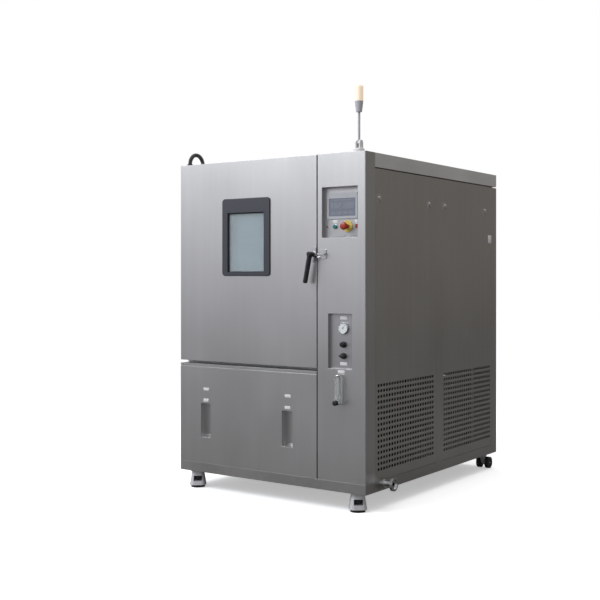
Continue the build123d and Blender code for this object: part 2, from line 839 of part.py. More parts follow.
# Condenser fan: twisted blades round a hub that runs on the motor's shaft
with BuildPart() as condenser_fan:
    fan_hub_back = condenser_front - condenser_bar_depth - seat
    with BuildSketch(seen_from_front(fan_hub_back)):
        with Locations(condenser_middle):
            Circle(condenser_fan_hub_radius)
    extrude(amount=condenser_shroud)
    for blade in range(condenser_fan_blades):
        turn = blade * 360 / condenser_fan_blades
        blade_centre = Plane(origin=(condenser_middle[0], fan_hub_back - condenser_shroud / 2,
                                     condenser_middle[1]),
                             x_dir=(cos(radians(turn)), 0, sin(radians(turn))),
                             z_dir=(0, -1, 0))
        radial = blade_centre.x_dir
        root = Plane(origin=blade_centre.origin + radial * (condenser_fan_hub_radius - 4),
                     x_dir=(0, -1, 0), z_dir=radial)
        with BuildSketch(root):
            Rectangle(blade_root_width, blade_root_thickness, rotation=blade_root_twist)
        tip = Plane(origin=blade_centre.origin + radial * condenser_fan_radius,
                    x_dir=(0, -1, 0), z_dir=radial)
        with BuildSketch(tip):
            Rectangle(blade_tip_width, blade_tip_thickness, rotation=blade_tip_twist)
        loft()
    with BuildSketch(seen_from_front(fan_hub_back)):
        with Locations(condenser_middle):
            Circle(fan_shaft_radius + running)
    extrude(amount=condenser_shroud, mode=Mode.SUBTRACT)
condenser_fan.part.label = "condenser_fan"
export_step(condenser_fan.part, "parts/condenser_fan.step")

# Refrigerant pipes from the compressors' domes to the condenser
with BuildPart() as refrigerant_pipes:
    for number in range(2):
        start_x = right - compressor_from_right
        start_y = front + compressor_first + number * compressor_spacing
        start_z = base_top + compressor_height
        run_x = middle_x + condenser_width / 2 - (number + 1) * pipe_spacing
        run_y = shroud_front - 2 * pipe_bend
        run_z = start_z + pipe_rise - number * pipe_spacing
        end_z = base_top + condenser_height / 2
        with BuildLine():
            Polyline((start_x, start_y, start_z), (start_x, start_y, run_z - pipe_bend),
                     (start_x - pipe_bend, start_y, run_z), (run_x + pipe_bend, start_y, run_z),
                     (run_x, start_y + pipe_bend, run_z), (run_x, run_y - pipe_bend, run_z),
                     (run_x, run_y, run_z - pipe_bend), (run_x, run_y, end_z + pipe_bend),
                     (run_x, run_y + pipe_bend, end_z), (run_x, shroud_front, end_z))
        with BuildSketch(Plane(origin=(start_x, start_y, start_z), z_dir=(0, 0, 1))):
            RegularPolygon(pipe_radius, 8)
        sweep(transition=Transition.RIGHT)
refrigerant_pipes.part.label = "refrigerant_pipes"
export_step(refrigerant_pipes.part, "parts/refrigerant_pipes.step")

# Control column: a folded sheet with two cut-outs
control_high_x = right - control_recess_from_right
control_low_x = control_high_x - control_recess_width
button_z = roof_top - buttons_below_roof
control_low_z = button_z - control_recess_below_buttons
control_high_z = control_low_z + control_recess_height
gauge_high_x = right - gauge_recess_from_right
gauge_low_x = gauge_high_x - gauge_recess_width
gauge_z = base_bottom + gauge_height
gauge_low_z = gauge_z - gauge_recess_below_gauge
gauge_high_z = gauge_low_z + gauge_recess_height
with BuildPart() as control_column:
    with BuildSketch(seen_from_above(base_top)):
        between(column_left, right, front, column_back)
    extrude(amount=roof_top - base_top)
    fillet(control_column.edges().filter_by(Axis.Z).group_by(Axis.Y)[0], column_edge_radius)
    block(column_left + sheet, right - sheet, front + sheet, column_back,
          base_top + sheet, roof_top - sheet, mode=Mode.SUBTRACT)
    with BuildSketch(seen_from_front(front + sheet)):
        between(control_low_x, control_high_x, control_low_z, control_high_z)
        between(gauge_low_x, gauge_high_x, gauge_low_z, gauge_high_z)
    extrude(amount=sheet, mode=Mode.SUBTRACT)
control_column.part.label = "control_column"
export_step(control_column.part, "parts/control_column.step")

# Two trays let into the column, with holes for what they carry
button_x = {
    "green_button": right - green_button_from_right,
    "red_button": right - red_button_from_right,
    "stop_button": right - stop_button_from_right,
    "small_lamp": right - small_lamp_from_right,
}
moving_buttons = ("green_button", "red_button", "stop_button")
control_floor = front + control_recess_depth
gauge_floor = front + gauge_recess_depth
gauge_x = right - gauge_from_right
knob_x = right - knob_from_right
regulator_z = gauge_z - regulator_below_gauge
selector_z = regulator_z - selector_below_regulator
with BuildPart() as recess_trays:
    block(control_low_x, control_high_x, front, control_floor + sheet,
          control_low_z, control_high_z)
    block(control_low_x + sheet, control_high_x - sheet, front, control_floor,
          control_low_z + sheet, control_high_z - sheet, mode=Mode.SUBTRACT)
    block(gauge_low_x, gauge_high_x, front, gauge_floor + sheet, gauge_low_z, gauge_high_z)
    block(gauge_low_x + sheet, gauge_high_x - sheet, front, gauge_floor,
          gauge_low_z + sheet, gauge_high_z - sheet, mode=Mode.SUBTRACT)
    with BuildSketch(seen_from_front(control_floor + sheet)):
        with Locations(*[(button_x[name], button_z) for name in moving_buttons]):
            Circle(button_hole_radius)
    extrude(amount=sheet, mode=Mode.SUBTRACT)
    with BuildSketch(seen_from_front(gauge_floor + sheet)):
        with Locations((knob_x, regulator_z), (knob_x, selector_z)):
            Circle(knob_stem_radius + running)
    extrude(amount=sheet, mode=Mode.SUBTRACT)
recess_trays.part.label = "recess_trays"
export_step(recess_trays.part, "parts/recess_trays.step")

# Operator screen in its bezel
screen_x = right - screen_from_right
screen_z = button_z + screen_above_buttons
with BuildPart() as screen_bezel:
    with BuildSketch(seen_from_front(control_floor)):
        with Locations((screen_x, screen_z)):
            RectangleRounded(screen_frame_width, screen_frame_height, 4)
    extrude(amount=screen_frame_depth)
    with BuildSketch(seen_from_front(control_floor - screen_frame_depth + screen_depth)):
        with Locations((screen_x, screen_z - screen_lens_lift)):
            Rectangle(screen_width, screen_height)
    extrude(amount=screen_depth, mode=Mode.SUBTRACT)
screen_bezel.part.label = "screen_bezel"
export_step(screen_bezel.part, "parts/screen_bezel.step")

with BuildPart() as touch_screen:
    with BuildSketch(seen_from_front(control_floor - screen_frame_depth + screen_depth)):
        with Locations((screen_x, screen_z - screen_lens_lift)):
            Rectangle(screen_width, screen_height)
    extrude(amount=screen_depth / 2)
touch_screen.part.label = "touch_screen"
export_step(touch_screen.part, "parts/touch_screen.step")

# Collars of the buttons, the stop button's disc and the small lamp, on the tray
collar_front = control_floor - button_collar_height
with BuildPart() as button_collars:
    for name, radius in (("green_button", button_collar_radius),
                         ("red_button", button_collar_radius),
                         ("stop_button", stop_disc_radius)):
        with BuildSketch(seen_from_front(control_floor)):
            with Locations((button_x[name], button_z)):
                Circle(radius)
                Circle(button_radius + running, mode=Mode.SUBTRACT)
        extrude(amount=button_collar_height)
    with BuildSketch(seen_from_front(control_floor)):
        with Locations((button_x["small_lamp"], button_z)):
            Circle(small_lamp_radius)
    extrude(amount=button_collar_height)
button_collars.part.label = "button_collars"
export_step(button_collars.part, "parts/button_collars.step")

# Push buttons, each a plain plunger in its collar
for name in ("green_button", "red_button"):
    with BuildPart() as push_button:
        with BuildSketch(seen_from_front(control_floor + plunger_tail)):
            with Locations((button_x[name], button_z)):
                Circle(button_radius)
        extrude(amount=plunger_tail + button_collar_height + button_stand_out)
        chamfer(push_button.edges().group_by(Axis.Y)[0], 1)
    push_button.part.label = name
    export_step(push_button.part, f"parts/{name}.step")

# Stop button: a mushroom head on a neck
stop_back = control_floor + plunger_tail
stop_face = collar_front - stop_stand_out
head_back = stop_face + stop_head_height
with BuildPart() as stop_button:
    with BuildSketch(seen_from_front(stop_back)):
        with Locations((button_x["stop_button"], button_z)):
            Circle(button_radius)
    extrude(amount=stop_back - collar_front + stop_travel + seat)
    with BuildSketch(seen_from_front(collar_front - stop_travel - seat)):
        with Locations((button_x["stop_button"], button_z)):
            Circle(stop_neck_radius)
    extrude(amount=collar_front - stop_travel - seat - head_back)
    with BuildSketch(seen_from_front(head_back)):
        with Locations((button_x["stop_button"], button_z)):
            Circle(stop_head_radius)
    extrude(amount=stop_head_height)
    chamfer(stop_button.edges().group_by(Axis.Y)[0], stop_head_height * 0.2,
            stop_head_height * 0.4)
stop_button.part.label = "stop_button"
export_step(stop_button.part, "parts/stop_button.step")

# Pressure gauge: a round case on the tray with a dished dial
with BuildPart() as pressure_gauge:
    with BuildSketch(seen_from_front(gauge_floor)):
        with Locations((gauge_x, gauge_z)):
            Circle(gauge_rim_radius)
    extrude(amount=gauge_rim_height)
    with BuildSketch(seen_from_front(gauge_floor - gauge_rim_height + 4)):
        with Locations((gauge_x, gauge_z)):
            Circle(gauge_dial_radius)
    extrude(amount=4, mode=Mode.SUBTRACT)
pressure_gauge.part.label = "pressure_gauge"
export_step(pressure_gauge.part, "parts/pressure_gauge.step")

# Two knobs under the gauge, each on a stem through the tray
for name, knob_z in (("regulator_knob", regulator_z), ("selector_knob", selector_z)):
    knob_back = gauge_floor - seat
    with BuildPart() as knob:
        with BuildSketch(seen_from_front(knob_back)):
            with Locations((knob_x, knob_z)):
                Circle(knob_radius)
        extrude(amount=knob_height * 0.35)
        with BuildSketch(seen_from_front(knob_back - knob_height * 0.35)):
            with Locations((knob_x, knob_z)):
                RegularPolygon(knob_radius * 0.86, 8)
        extrude(amount=knob_height * 0.65)
        with BuildSketch(seen_from_front(gauge_floor + plunger_tail)):
            with Locations((knob_x, knob_z)):
                Circle(knob_stem_radius)
        extrude(amount=plunger_tail + seat)
    knob.part.label = name
    export_step(knob.part, f"parts/{name}.step")

# Flow meter: a clear block with a bore for its float
flow_x = right - flow_from_right
flow_high_z = gauge_low_z - flow_below_gauge_recess
flow_low_z = flow_high_z - flow_height
flow_front = front - flow_depth
flow_bore_y = flow_front + flow_depth / 3
flow_bore_low = flow_low_z + flow_bore_margin
flow_knob_z = flow_low_z + flow_knob_radius * 0.8
flow_stem_radius = 3
with BuildPart() as flow_meter:
    block(flow_x - flow_width / 2, flow_x + flow_width / 2, flow_front, front,
          flow_low_z, flow_high_z)
    with BuildSketch(seen_from_above(flow_bore_low)):
        with Locations((flow_x, flow_bore_y)):
            Circle(flow_bore_radius)
    extrude(amount=flow_high_z - flow_bore_low, mode=Mode.SUBTRACT)
    with BuildSketch(seen_from_above(flow_high_z)):
        with Locations((flow_x, flow_bore_y)):
            Circle(flow_fitting_radius)
    extrude(amount=flow_fitting_height)
    with BuildSketch(seen_from_front(flow_front + flow_depth / 3)):
        with Locations((flow_x, flow_knob_z)):
            Circle(flow_stem_radius + running)
    extrude(amount=flow_depth / 3, mode=Mode.SUBTRACT)
flow_meter.part.label = "flow_meter"
export_step(flow_meter.part, "parts/flow_meter.step")

with BuildPart() as flow_float:
    with BuildSketch(seen_from_above(flow_bore_low + seat)):
        with Locations((flow_x, flow_bore_y)):
            Circle(float_radius * 0.5)
    with BuildSketch(seen_from_above(flow_bore_low + seat + float_radius * 1.4)):
        with Locations((flow_x, flow_bore_y)):
            Circle(float_radius)
    loft()
flow_float.part.label = "flow_float"
export_step(flow_float.part, "parts/flow_float.step")

with BuildPart() as flow_knob:
    knob_start = flow_front - 3
    with BuildSketch(seen_from_front(knob_start)):
        with Locations((flow_x, flow_knob_z)):
            Circle(flow_knob_radius)
    extrude(amount=flow_knob_length)
    chamfer(flow_knob.edges().group_by(Axis.Y)[0], 2)
    with BuildSketch(seen_from_front(flow_front + flow_depth / 3 - seat)):
        with Locations((flow_x, flow_knob_z)):
            Circle(flow_stem_radius)
    extrude(amount=flow_depth / 3 - seat + 3)
flow_knob.part.label = "flow_knob"
export_step(flow_knob.part, "parts/flow_knob.step")

# Door: a hollow skin with the window's opening right through it
window_x = left + window_from_door_left
window_z = (door_bottom + door_top) / 2 + window_above_door_middle
window_low_x = window_x - window_frame_width / 2 + window_side_band
window_high_x = window_x + window_frame_width / 2 - window_side_band
window_low_z = window_z - window_frame_height / 2 + window_low_band
window_high_z = window_z + window_frame_height / 2 - window_top_band
plug_back = door_back + plug_depth
plug_low_x = cavity_left + plug_clearance
plug_high_x = cavity_right - plug_clearance
plug_low_z = cavity_floor + plug_clearance
plug_high_z = cavity_top - plug_clearance


def window_opening(grow):
    """Outline of the window's clear opening, grown by a wall, in the open sketch."""
    between(window_low_x - grow, window_high_x + grow, window_low_z - grow, window_high_z + grow)


with BuildPart() as door_skin:
    block(left, door_right, front, door_back, door_bottom, door_top)
    fillet(door_skin.edges().filter_by(Axis.Z).group_by(Axis.Y)[0], sheet * 1.5)
    block(left + sheet, door_right - sheet, front + sheet, door_back - sheet,
          door_bottom + sheet, door_top - sheet, mode=Mode.SUBTRACT)
    with BuildSketch(seen_from_front(door_back)):
        window_opening(sleeve_wall)
    extrude(amount=door_thickness, mode=Mode.SUBTRACT)
door_skin.part.label = "door_skin"
export_step(door_skin.part, "parts/door_skin.step")

# Inner plug of the door, a shallow pan that enters the chamber's mouth
with BuildPart() as door_plug:
    block(plug_low_x, plug_high_x, door_back, plug_back, plug_low_z, plug_high_z)
    block(plug_low_x + sheet, plug_high_x - sheet, door_back, plug_back - sheet,
          plug_low_z + sheet, plug_high_z - sheet, mode=Mode.SUBTRACT)
    with BuildSketch(seen_from_front(plug_back)):
        window_opening(sleeve_wall)
    extrude(amount=sheet, mode=Mode.SUBTRACT)
door_plug.part.label = "door_plug"
export_step(door_plug.part, "parts/door_plug.step")

# Gasket round the plug, just clear of the mouth frame
with BuildPart() as door_gasket:
    with BuildSketch(seen_from_front(body_front - seat)):
        between(cavity_left - gasket_width, cavity_right + gasket_width,
                cavity_floor - gasket_width, cavity_top + gasket_width)
        between(plug_low_x, plug_high_x, plug_low_z, plug_high_z, mode=Mode.SUBTRACT)
    extrude(amount=gasket_thickness - seat)
door_gasket.part.label = "door_gasket"
export_step(door_gasket.part, "parts/door_gasket.step")

# Window frame on the door's face, and the sleeve that runs through the door
with BuildPart() as window_frame:
    with BuildSketch(seen_from_front(front)):
        with Locations((window_x, window_z)):
            RectangleRounded(window_frame_width, window_frame_height, window_frame_radius)
    extrude(amount=window_frame_depth)
    front_edges = window_frame.edges().group_by(Axis.Y)[0]
    chamfer(front_edges, 3)
    with BuildSketch(seen_from_front(plug_back)):
        window_opening(sleeve_wall)
    extrude(amount=plug_back - front)
    with BuildSketch(seen_from_front(plug_back)):
        window_opening(0)
    extrude(amount=plug_back - front + window_frame_depth, mode=Mode.SUBTRACT)
window_frame.part.label = "window_frame"
export_step(window_frame.part, "parts/window_frame.step")

# Three panes with air between them
with BuildPart() as window_glass:
    pane_span = plug_back - front - 2 * pane_inset - pane_thickness
    for pane in range(3):
        pane_front = front + pane_inset + pane * pane_span / 2
        with BuildSketch(seen_from_front(pane_front + pane_thickness)):
            window_opening(0)
        extrude(amount=pane_thickness)
window_glass.part.label = "window_glass"
export_step(window_glass.part, "parts/window_glass.step")

# Latch: plate and spindle on the door, lever on the spindle, keeper on the column
latch_x = right - latch_from_right
latch_z = base_bottom + latch_height
plate_front = front - handle_plate_thickness
hub_back = plate_front - seat
hub_front = hub_back - hub_length
spindle_reach = 2 * hub_core_radius
with BuildPart() as handle_plate:
    with BuildSketch(seen_from_front(front)):
        with Locations((latch_x, latch_z)):
            RectangleRounded(handle_plate_width, handle_plate_height, 5)
    extrude(amount=handle_plate_thickness)
    with BuildSketch(seen_from_front(plate_front)):
        with Locations((latch_x, latch_z)):
            Circle(spindle_radius)
    extrude(amount=hub_length + spindle_reach)
handle_plate.part.label = "handle_plate"
export_step(handle_plate.part, "parts/handle_plate.step")

lean = radians(lever_lean)
lever_direction = (-sin(lean), 0, -cos(lean))
lever_y = front - lever_stand_out
core_length = hub_front - lever_y + hub_core_radius
grip_plane = Plane(origin=(latch_x, lever_y, latch_z), x_dir=(0, 1, 0), z_dir=lever_direction)
with BuildPart() as lever_hub:
    with BuildSketch(seen_from_front(hub_back)):
        with Locations((latch_x, latch_z)):
            Circle(hub_radius)
    extrude(amount=hub_length)
    # The tongue turns behind the finger of the keeper
    drop = radians(tongue_drop)
    tongue_plane = Plane(origin=(latch_x, hub_back, latch_z),
                         x_dir=(cos(drop), 0, -sin(drop)), z_dir=(0, -1, 0))
    with BuildSketch(tongue_plane):
        between(0, tongue_reach, -tongue_height / 2, tongue_height / 2)
    extrude(amount=tongue_thickness)
    # A core carries the grip, and a shank runs down inside it
    with BuildSketch(seen_from_front(hub_front)):
        with Locations((latch_x, latch_z)):
            Circle(hub_core_radius)
    extrude(amount=core_length)
    with BuildSketch(grip_plane):
        Circle(shank_radius)
    extrude(amount=grip_length / 2)
    with BuildSketch(seen_from_front(hub_back)):
        with Locations((latch_x, latch_z)):
            Circle(spindle_radius + running)
    extrude(amount=hub_length + spindle_reach + seat, mode=Mode.SUBTRACT)
lever_hub.part.label = "lever_hub"
export_step(lever_hub.part, "parts/lever_hub.step")

# Grip: a moulded elbow, with a boss over the hub's core and a tapered handle that hangs down
with BuildPart() as lever_grip:
    with BuildSketch(seen_from_front(hub_front)):
        with Locations((latch_x, latch_z)):
            Circle(grip_radius)
    extrude(amount=core_length + grip_radius / 2)
    chamfer(lever_grip.edges().group_by(Axis.Y)[0], grip_radius * 0.3)
    with BuildSketch(grip_plane):
        Circle(grip_radius - 1)
    with BuildSketch(grip_plane.offset(grip_length)):
        Circle(grip_end_radius)
    loft()
    chamfer(lever_grip.edges().sort_by(Axis.Z)[0], grip_end_radius * 0.4)
    with BuildSketch(seen_from_front(hub_front)):
        with Locations((latch_x, latch_z)):
            Circle(hub_core_radius)
    extrude(amount=core_length, mode=Mode.SUBTRACT)
    with BuildSketch(grip_plane):
        Circle(shank_radius)
    extrude(amount=grip_length / 2, mode=Mode.SUBTRACT)
lever_grip.part.label = "lever_grip"
export_step(lever_grip.part, "parts/lever_grip.step")

# Keeper: a base on the column, a post, and a finger in front of the tongue's path
keeper_high_x = right - keeper_from_right
keeper_low_x = keeper_high_x - keeper_width
finger_back = hub_back - tongue_thickness - keeper_finger_gap
finger_front = finger_back - keeper_finger_thickness
with BuildPart() as latch_keeper:
    with BuildSketch(seen_from_front(front)):
        with Locations(((keeper_low_x + keeper_high_x) / 2, latch_z)):
            RectangleRounded(keeper_width, keeper_height, 5)
    extrude(amount=keeper_base)
    block(keeper_high_x - keeper_post_width, keeper_high_x, finger_front, front - keeper_base,
          latch_z - keeper_finger_height / 2, latch_z + keeper_finger_height / 2)
    block(keeper_low_x + 3, keeper_high_x, finger_front, finger_back,
          latch_z - keeper_finger_height / 2, latch_z + keeper_finger_height / 2)
latch_keeper.part.label = "latch_keeper"
export_step(latch_keeper.part, "parts/latch_keeper.step")

# Lift-off hinges: the lower half with its pin on the cabinet, the upper half on the door
hinge_x = left - hinge_offset
hinge_y = door_back + gasket_thickness / 2
hinge_half = hinge_length / 2
hinge_heights = (door_bottom + hinge_end_distance, door_top - hinge_end_distance)
with BuildPart() as cabinet_hinges:
    for hinge_z in hinge_heights:
        with BuildSketch(seen_from_above(hinge_z - hinge_half)):
            with Locations((hinge_x, hinge_y)):
                Circle(hinge_knuckle_radius)
            between(left - hinge_plate, left, body_front, hinge_y + hinge_plate_reach)
            between(hinge_x, left, hinge_y + gasket_thickness / 2,
                    hinge_y + hinge_knuckle_radius)
        extrude(amount=hinge_half)
        with BuildSketch(seen_from_above(hinge_z)):
            with Locations((hinge_x, hinge_y)):
                Circle(hinge_pin_radius)
        extrude(amount=hinge_half - 8)
cabinet_hinges.part.label = "cabinet_hinges"
export_step(cabinet_hinges.part, "parts/cabinet_hinges.step")

with BuildPart() as door_hinges:
    for hinge_z in hinge_heights:
        with BuildSketch(seen_from_above(hinge_z + seat)):
            with Locations((hinge_x, hinge_y)):
                Circle(hinge_knuckle_radius)
            between(left - hinge_plate, left, hinge_y - hinge_plate_reach, door_back)
            between(hinge_x, left, hinge_y - hinge_knuckle_radius, door_back)
        extrude(amount=hinge_half)
        with BuildSketch(seen_from_above(hinge_z + seat)):
            with Locations((hinge_x, hinge_y)):
                Circle(hinge_pin_radius + running)
        extrude(amount=hinge_half - 6, mode=Mode.SUBTRACT)
door_hinges.part.label = "door_hinges"
export_step(door_hinges.part, "parts/door_hinges.step")

# Conduit: half a ring between a gland on the door and a gland on the roof
conduit_x = left + conduit_from_left
conduit_y = front + conduit_middle
conduit_base = roof_top + gland_height
with BuildPart() as conduit_loop:
    with BuildSketch(seen_from_above(conduit_base)):
        with Locations((conduit_x, conduit_y - conduit_bend_radius)):
            RegularPolygon(conduit_radius, 8)
    turning_axis = Axis((conduit_x, conduit_y, conduit_base), (1, 0, 0))
    revolve(axis=turning_axis, revolution_arc=-180)
conduit_loop.part.label = "conduit_loop"
export_step(conduit_loop.part, "parts/conduit_loop.step")
print("conduit_loop bend radius mm:", conduit_bend_radius)

with BuildPart() as door_gland:
    with BuildSketch(seen_from_above(door_top)):
        with Locations((conduit_x, conduit_y - conduit_bend_radius)):
            RegularPolygon(gland_radius, 6)
    extrude(amount=conduit_base - seat - door_top)
door_gland.part.label = "door_gland"
export_step(door_gland.part, "parts/door_gland.step")

# Fittings on the cabinet: roof gland, drain stub, and two inlets at the rear
drain_y = front + drain_from_front
drain_z = base_bottom + drain_height
drain_end = right + drain_reach
rear_fitting_z = base_top + 2 * rear_fitting_radius + base_height
with BuildPart() as service_fittings:
    with BuildSketch(seen_from_above(roof_top)):
        with Locations((conduit_x, conduit_y + conduit_bend_radius)):
            RegularPolygon(gland_radius, 6)
    extrude(amount=gland_height - seat)
    with BuildSketch(seen_from_right(right)):
        with Locations((drain_y, drain_z)):
            Circle(drain_flange_radius)
    extrude(amount=drain_flange_thickness)
    with BuildSketch(seen_from_right(right + drain_flange_thickness)):
        with Locations((drain_y, drain_z)):
            Circle(drain_radius)
    extrude(amount=drain_length)
    # The stub ends in a thick ring with a recessed face
    with BuildSketch(seen_from_right(drain_end - drain_ring_thickness)):
        with Locations((drain_y, drain_z)):
            Circle(drain_ring_radius)
    extrude(amount=drain_ring_thickness)
    with BuildSketch(seen_from_right(drain_end - drain_recess_depth)):
        with Locations((drain_y, drain_z)):
            Circle(drain_recess_radius)
    extrude(amount=drain_recess_depth, mode=Mode.SUBTRACT)
    with BuildSketch(seen_from_right(right + drain_flange_thickness)):
        with Locations((drain_y, drain_z)):
            Circle(drain_radius - drain_wall)
    extrude(amount=drain_length, mode=Mode.SUBTRACT)
    # Water inlet and cable gland, on the posts beside the rear panel
    for fitting_x in (left + side_post_width / 2, right - side_post_width / 2):
        with BuildSketch(seen_from_front(rear + rear_fitting_length)):
            with Locations((fitting_x, rear_fitting_z)):
                RegularPolygon(rear_fitting_radius * 0.7, 8)
        extrude(amount=rear_fitting_length)
        with BuildSketch(seen_from_front(rear + rear_fitting_length / 2)):
            with Locations((fitting_x, rear_fitting_z)):
                RegularPolygon(rear_fitting_radius, 6)
        extrude(amount=rear_fitting_length / 2)
service_fittings.part.label = "service_fittings"
export_step(service_fittings.part, "parts/service_fittings.step")

# Lower panel: a thick pan that rests on the base and lifts off, with two pocket handles
lower_panel_low = base_top + seat
lower_panel_high = door_bottom - under_door_gap
groove_high = lower_panel_high - lower_panel_hem
pocket_z = base_bottom + pocket_middle_height
panel_middle_x = (left + door_right) / 2
with BuildPart() as lower_panel:
    block(left, door_right, front, front + lower_panel_thickness,
          lower_panel_low, lower_panel_high)
    block(left + sheet, door_right - sheet, front + sheet, front + lower_panel_thickness,
          lower_panel_low + sheet, lower_panel_high - sheet, mode=Mode.SUBTRACT)
    # A groove folded along the top, under the hem
    block(left, door_right, front, front + lower_panel_groove_depth + sheet,
          groove_high - lower_panel_groove_height - sheet, groove_high + sheet)
    block(left, door_right, front, front + lower_panel_groove_depth,
          groove_high - lower_panel_groove_height, groove_high, mode=Mode.SUBTRACT)
    with BuildSketch(seen_from_front(front + sheet)):
        with Locations((panel_middle_x, pocket_z)):
            with GridLocations(pocket_spacing, 1, 2, 1):
                Rectangle(pocket_width, pocket_height)
    extrude(amount=sheet, mode=Mode.SUBTRACT)
    # Pocket handles welded into the sheet
    pocket_low = pocket_z - pocket_height / 2
    pocket_high = pocket_z + pocket_height / 2
    for pocket_x in (panel_middle_x - pocket_spacing / 2, panel_middle_x + pocket_spacing / 2):
        low_x = pocket_x - pocket_width / 2
        high_x = pocket_x + pocket_width / 2
        block(low_x, high_x, front, front + pocket_depth, pocket_low, pocket_high)
        # The floor of the pocket slopes up to its sill, so that fingers hook behind it
        with BuildSketch(seen_from_right(low_x + sheet)):
            with BuildLine():
                Polyline((front, pocket_low + sheet),
                         (front + pocket_depth - sheet, pocket_low + pocket_sill),
                         (front + pocket_depth - sheet, pocket_high - sheet),
                         (front, pocket_high - sheet), close=True)
            make_face()
        extrude(amount=pocket_width - 2 * sheet, mode=Mode.SUBTRACT)
lower_panel.part.label = "lower_panel"
export_step(lower_panel.part, "parts/lower_panel.step")

# Signal lamp: a base with two ears, a mast that folds to the rear, and its lens
lamp_x = right - lamp_from_right
lamp_y = front + lamp_from_front
fold_z = roof_top + lamp_fold_height
eye_half_width = lamp_pole_radius + 1.5
ear_offset = eye_half_width + seat
with BuildPart() as signal_base:
    with BuildSketch(seen_from_above(roof_top)):
        with Locations((lamp_x, lamp_y)):
            Circle(lamp_base_radius)
    extrude(amount=lamp_base_height)
    chamfer(signal_base.edges().group_by(Axis.Z)[-1], 4)
    for ear_x in (lamp_x - ear_offset - lamp_ear_thickness, lamp_x + ear_offset):
        with BuildSketch(seen_from_right(ear_x)):
            with Locations((lamp_y, fold_z)):
                Circle(lamp_ear_radius)
            between(lamp_y - lamp_ear_radius, lamp_y + lamp_ear_radius,
                    roof_top + lamp_base_height - 2, fold_z)
        extrude(amount=lamp_ear_thickness)
    with BuildSketch(seen_from_right(lamp_x - ear_offset)):
        with Locations((lamp_y, fold_z)):
            Circle(lamp_bolt_radius)
    extrude(amount=2 * ear_offset)
signal_base.part.label = "signal_base"
export_step(signal_base.part, "parts/signal_base.step")

housing_low = fold_z + lamp_pole_top - lamp_fold_height
housing_high = housing_low + lamp_housing_height
with BuildPart() as signal_pole:
    with BuildSketch(seen_from_above(fold_z)):
        with Locations((lamp_x, lamp_y)):
            Circle(lamp_pole_radius)
    extrude(amount=housing_low - fold_z)
    with BuildSketch(seen_from_right(lamp_x - eye_half_width)):
        with Locations((lamp_y, fold_z)):
            Circle(lamp_ear_radius * 0.7)
    extrude(amount=2 * eye_half_width)
    with BuildSketch(seen_from_above(housing_low)):
        with Locations((lamp_x, lamp_y)):
            Circle(lamp_housing_low_radius)
    with BuildSketch(seen_from_above(housing_high)):
        with Locations((lamp_x, lamp_y)):
            Circle(lamp_lens_radius)
    loft()
    with BuildSketch(seen_from_right(lamp_x - eye_half_width)):
        with Locations((lamp_y, fold_z)):
            Circle(lamp_bolt_radius + running)
    extrude(amount=2 * eye_half_width, mode=Mode.SUBTRACT)
signal_pole.part.label = "signal_pole"
export_step(signal_pole.part, "parts/signal_pole.step")

with BuildPart() as signal_lens:
    with BuildSketch(seen_from_above(housing_high)):
        with Locations((lamp_x, lamp_y)):
            Circle(lamp_lens_radius)
    extrude(amount=lamp_lens_height)
    chamfer(signal_lens.edges().group_by(Axis.Z)[-1], 3)
signal_lens.part.label = "signal_lens"
export_step(signal_lens.part, "parts/signal_lens.step")

# Front castors: a plate, a cast body with a window, a thumbwheel and a rubber foot
front_castor_y = front + front_castor_inset
front_castors_x = (left + front_castor_side_inset, right - front_castor_side_inset)
plate_low = base_bottom - foot_plate_thickness
body_low = foot_pad_height + foot_body_gap
thumbwheel_low = foot_window_middle - thumbwheel_height / 2
with BuildPart() as front_castors:
    for castor_x in front_castors_x:
        centre = (castor_x, front_castor_y)
        with BuildSketch(seen_from_above(plate_low)):
            with Locations(centre):
                Rectangle(foot_plate, foot_plate, rotation=front_castor_turn)
        extrude(amount=foot_plate_thickness)
        with BuildSketch(seen_from_above(body_low)):
            with Locations(centre):
                RectangleRounded(foot_body_low, foot_body_low, foot_body_round,
                                 rotation=front_castor_turn)
        with BuildSketch(seen_from_above(plate_low)):
            with Locations(centre):
                RectangleRounded(foot_body_top, foot_body_top, foot_body_round * 0.7,
                                 rotation=front_castor_turn)
        loft()
        with BuildSketch(seen_from_above(foot_window_middle - foot_window_height / 2)):
            with Locations(centre):
                Rectangle(foot_window_width, 2 * foot_body_low, rotation=front_castor_turn)
        extrude(amount=foot_window_height, mode=Mode.SUBTRACT)
        with BuildSketch(seen_from_above(body_low)):
            with Locations(centre):
                RegularPolygon(foot_stem_radius + seat, 8)
        extrude(amount=foot_window_middle + foot_window_height / 2 - body_low + foot_body_gap,
                mode=Mode.SUBTRACT)
front_castors.part.label = "front_castors"
export_step(front_castors.part, "parts/front_castors.step")

with BuildPart() as levelling_feet:
    for castor_x in front_castors_x:
        centre = (castor_x, front_castor_y)
        with BuildSketch(seen_from_above(0)):
            with Locations(centre):
                Circle(foot_pad_radius)
        extrude(amount=foot_pad_height)
        with BuildSketch(seen_from_above(foot_pad_height)):
            with Locations(centre):
                RegularPolygon(foot_stem_radius, 8)
        extrude(amount=foot_window_middle + foot_window_height / 2 - foot_pad_height)
        with BuildSketch(seen_from_above(thumbwheel_low)):
            with Locations(centre):
                Circle(thumbwheel_radius)
        extrude(amount=thumbwheel_height)
levelling_feet.part.label = "levelling_feet"
export_step(levelling_feet.part, "parts/levelling_feet.step")

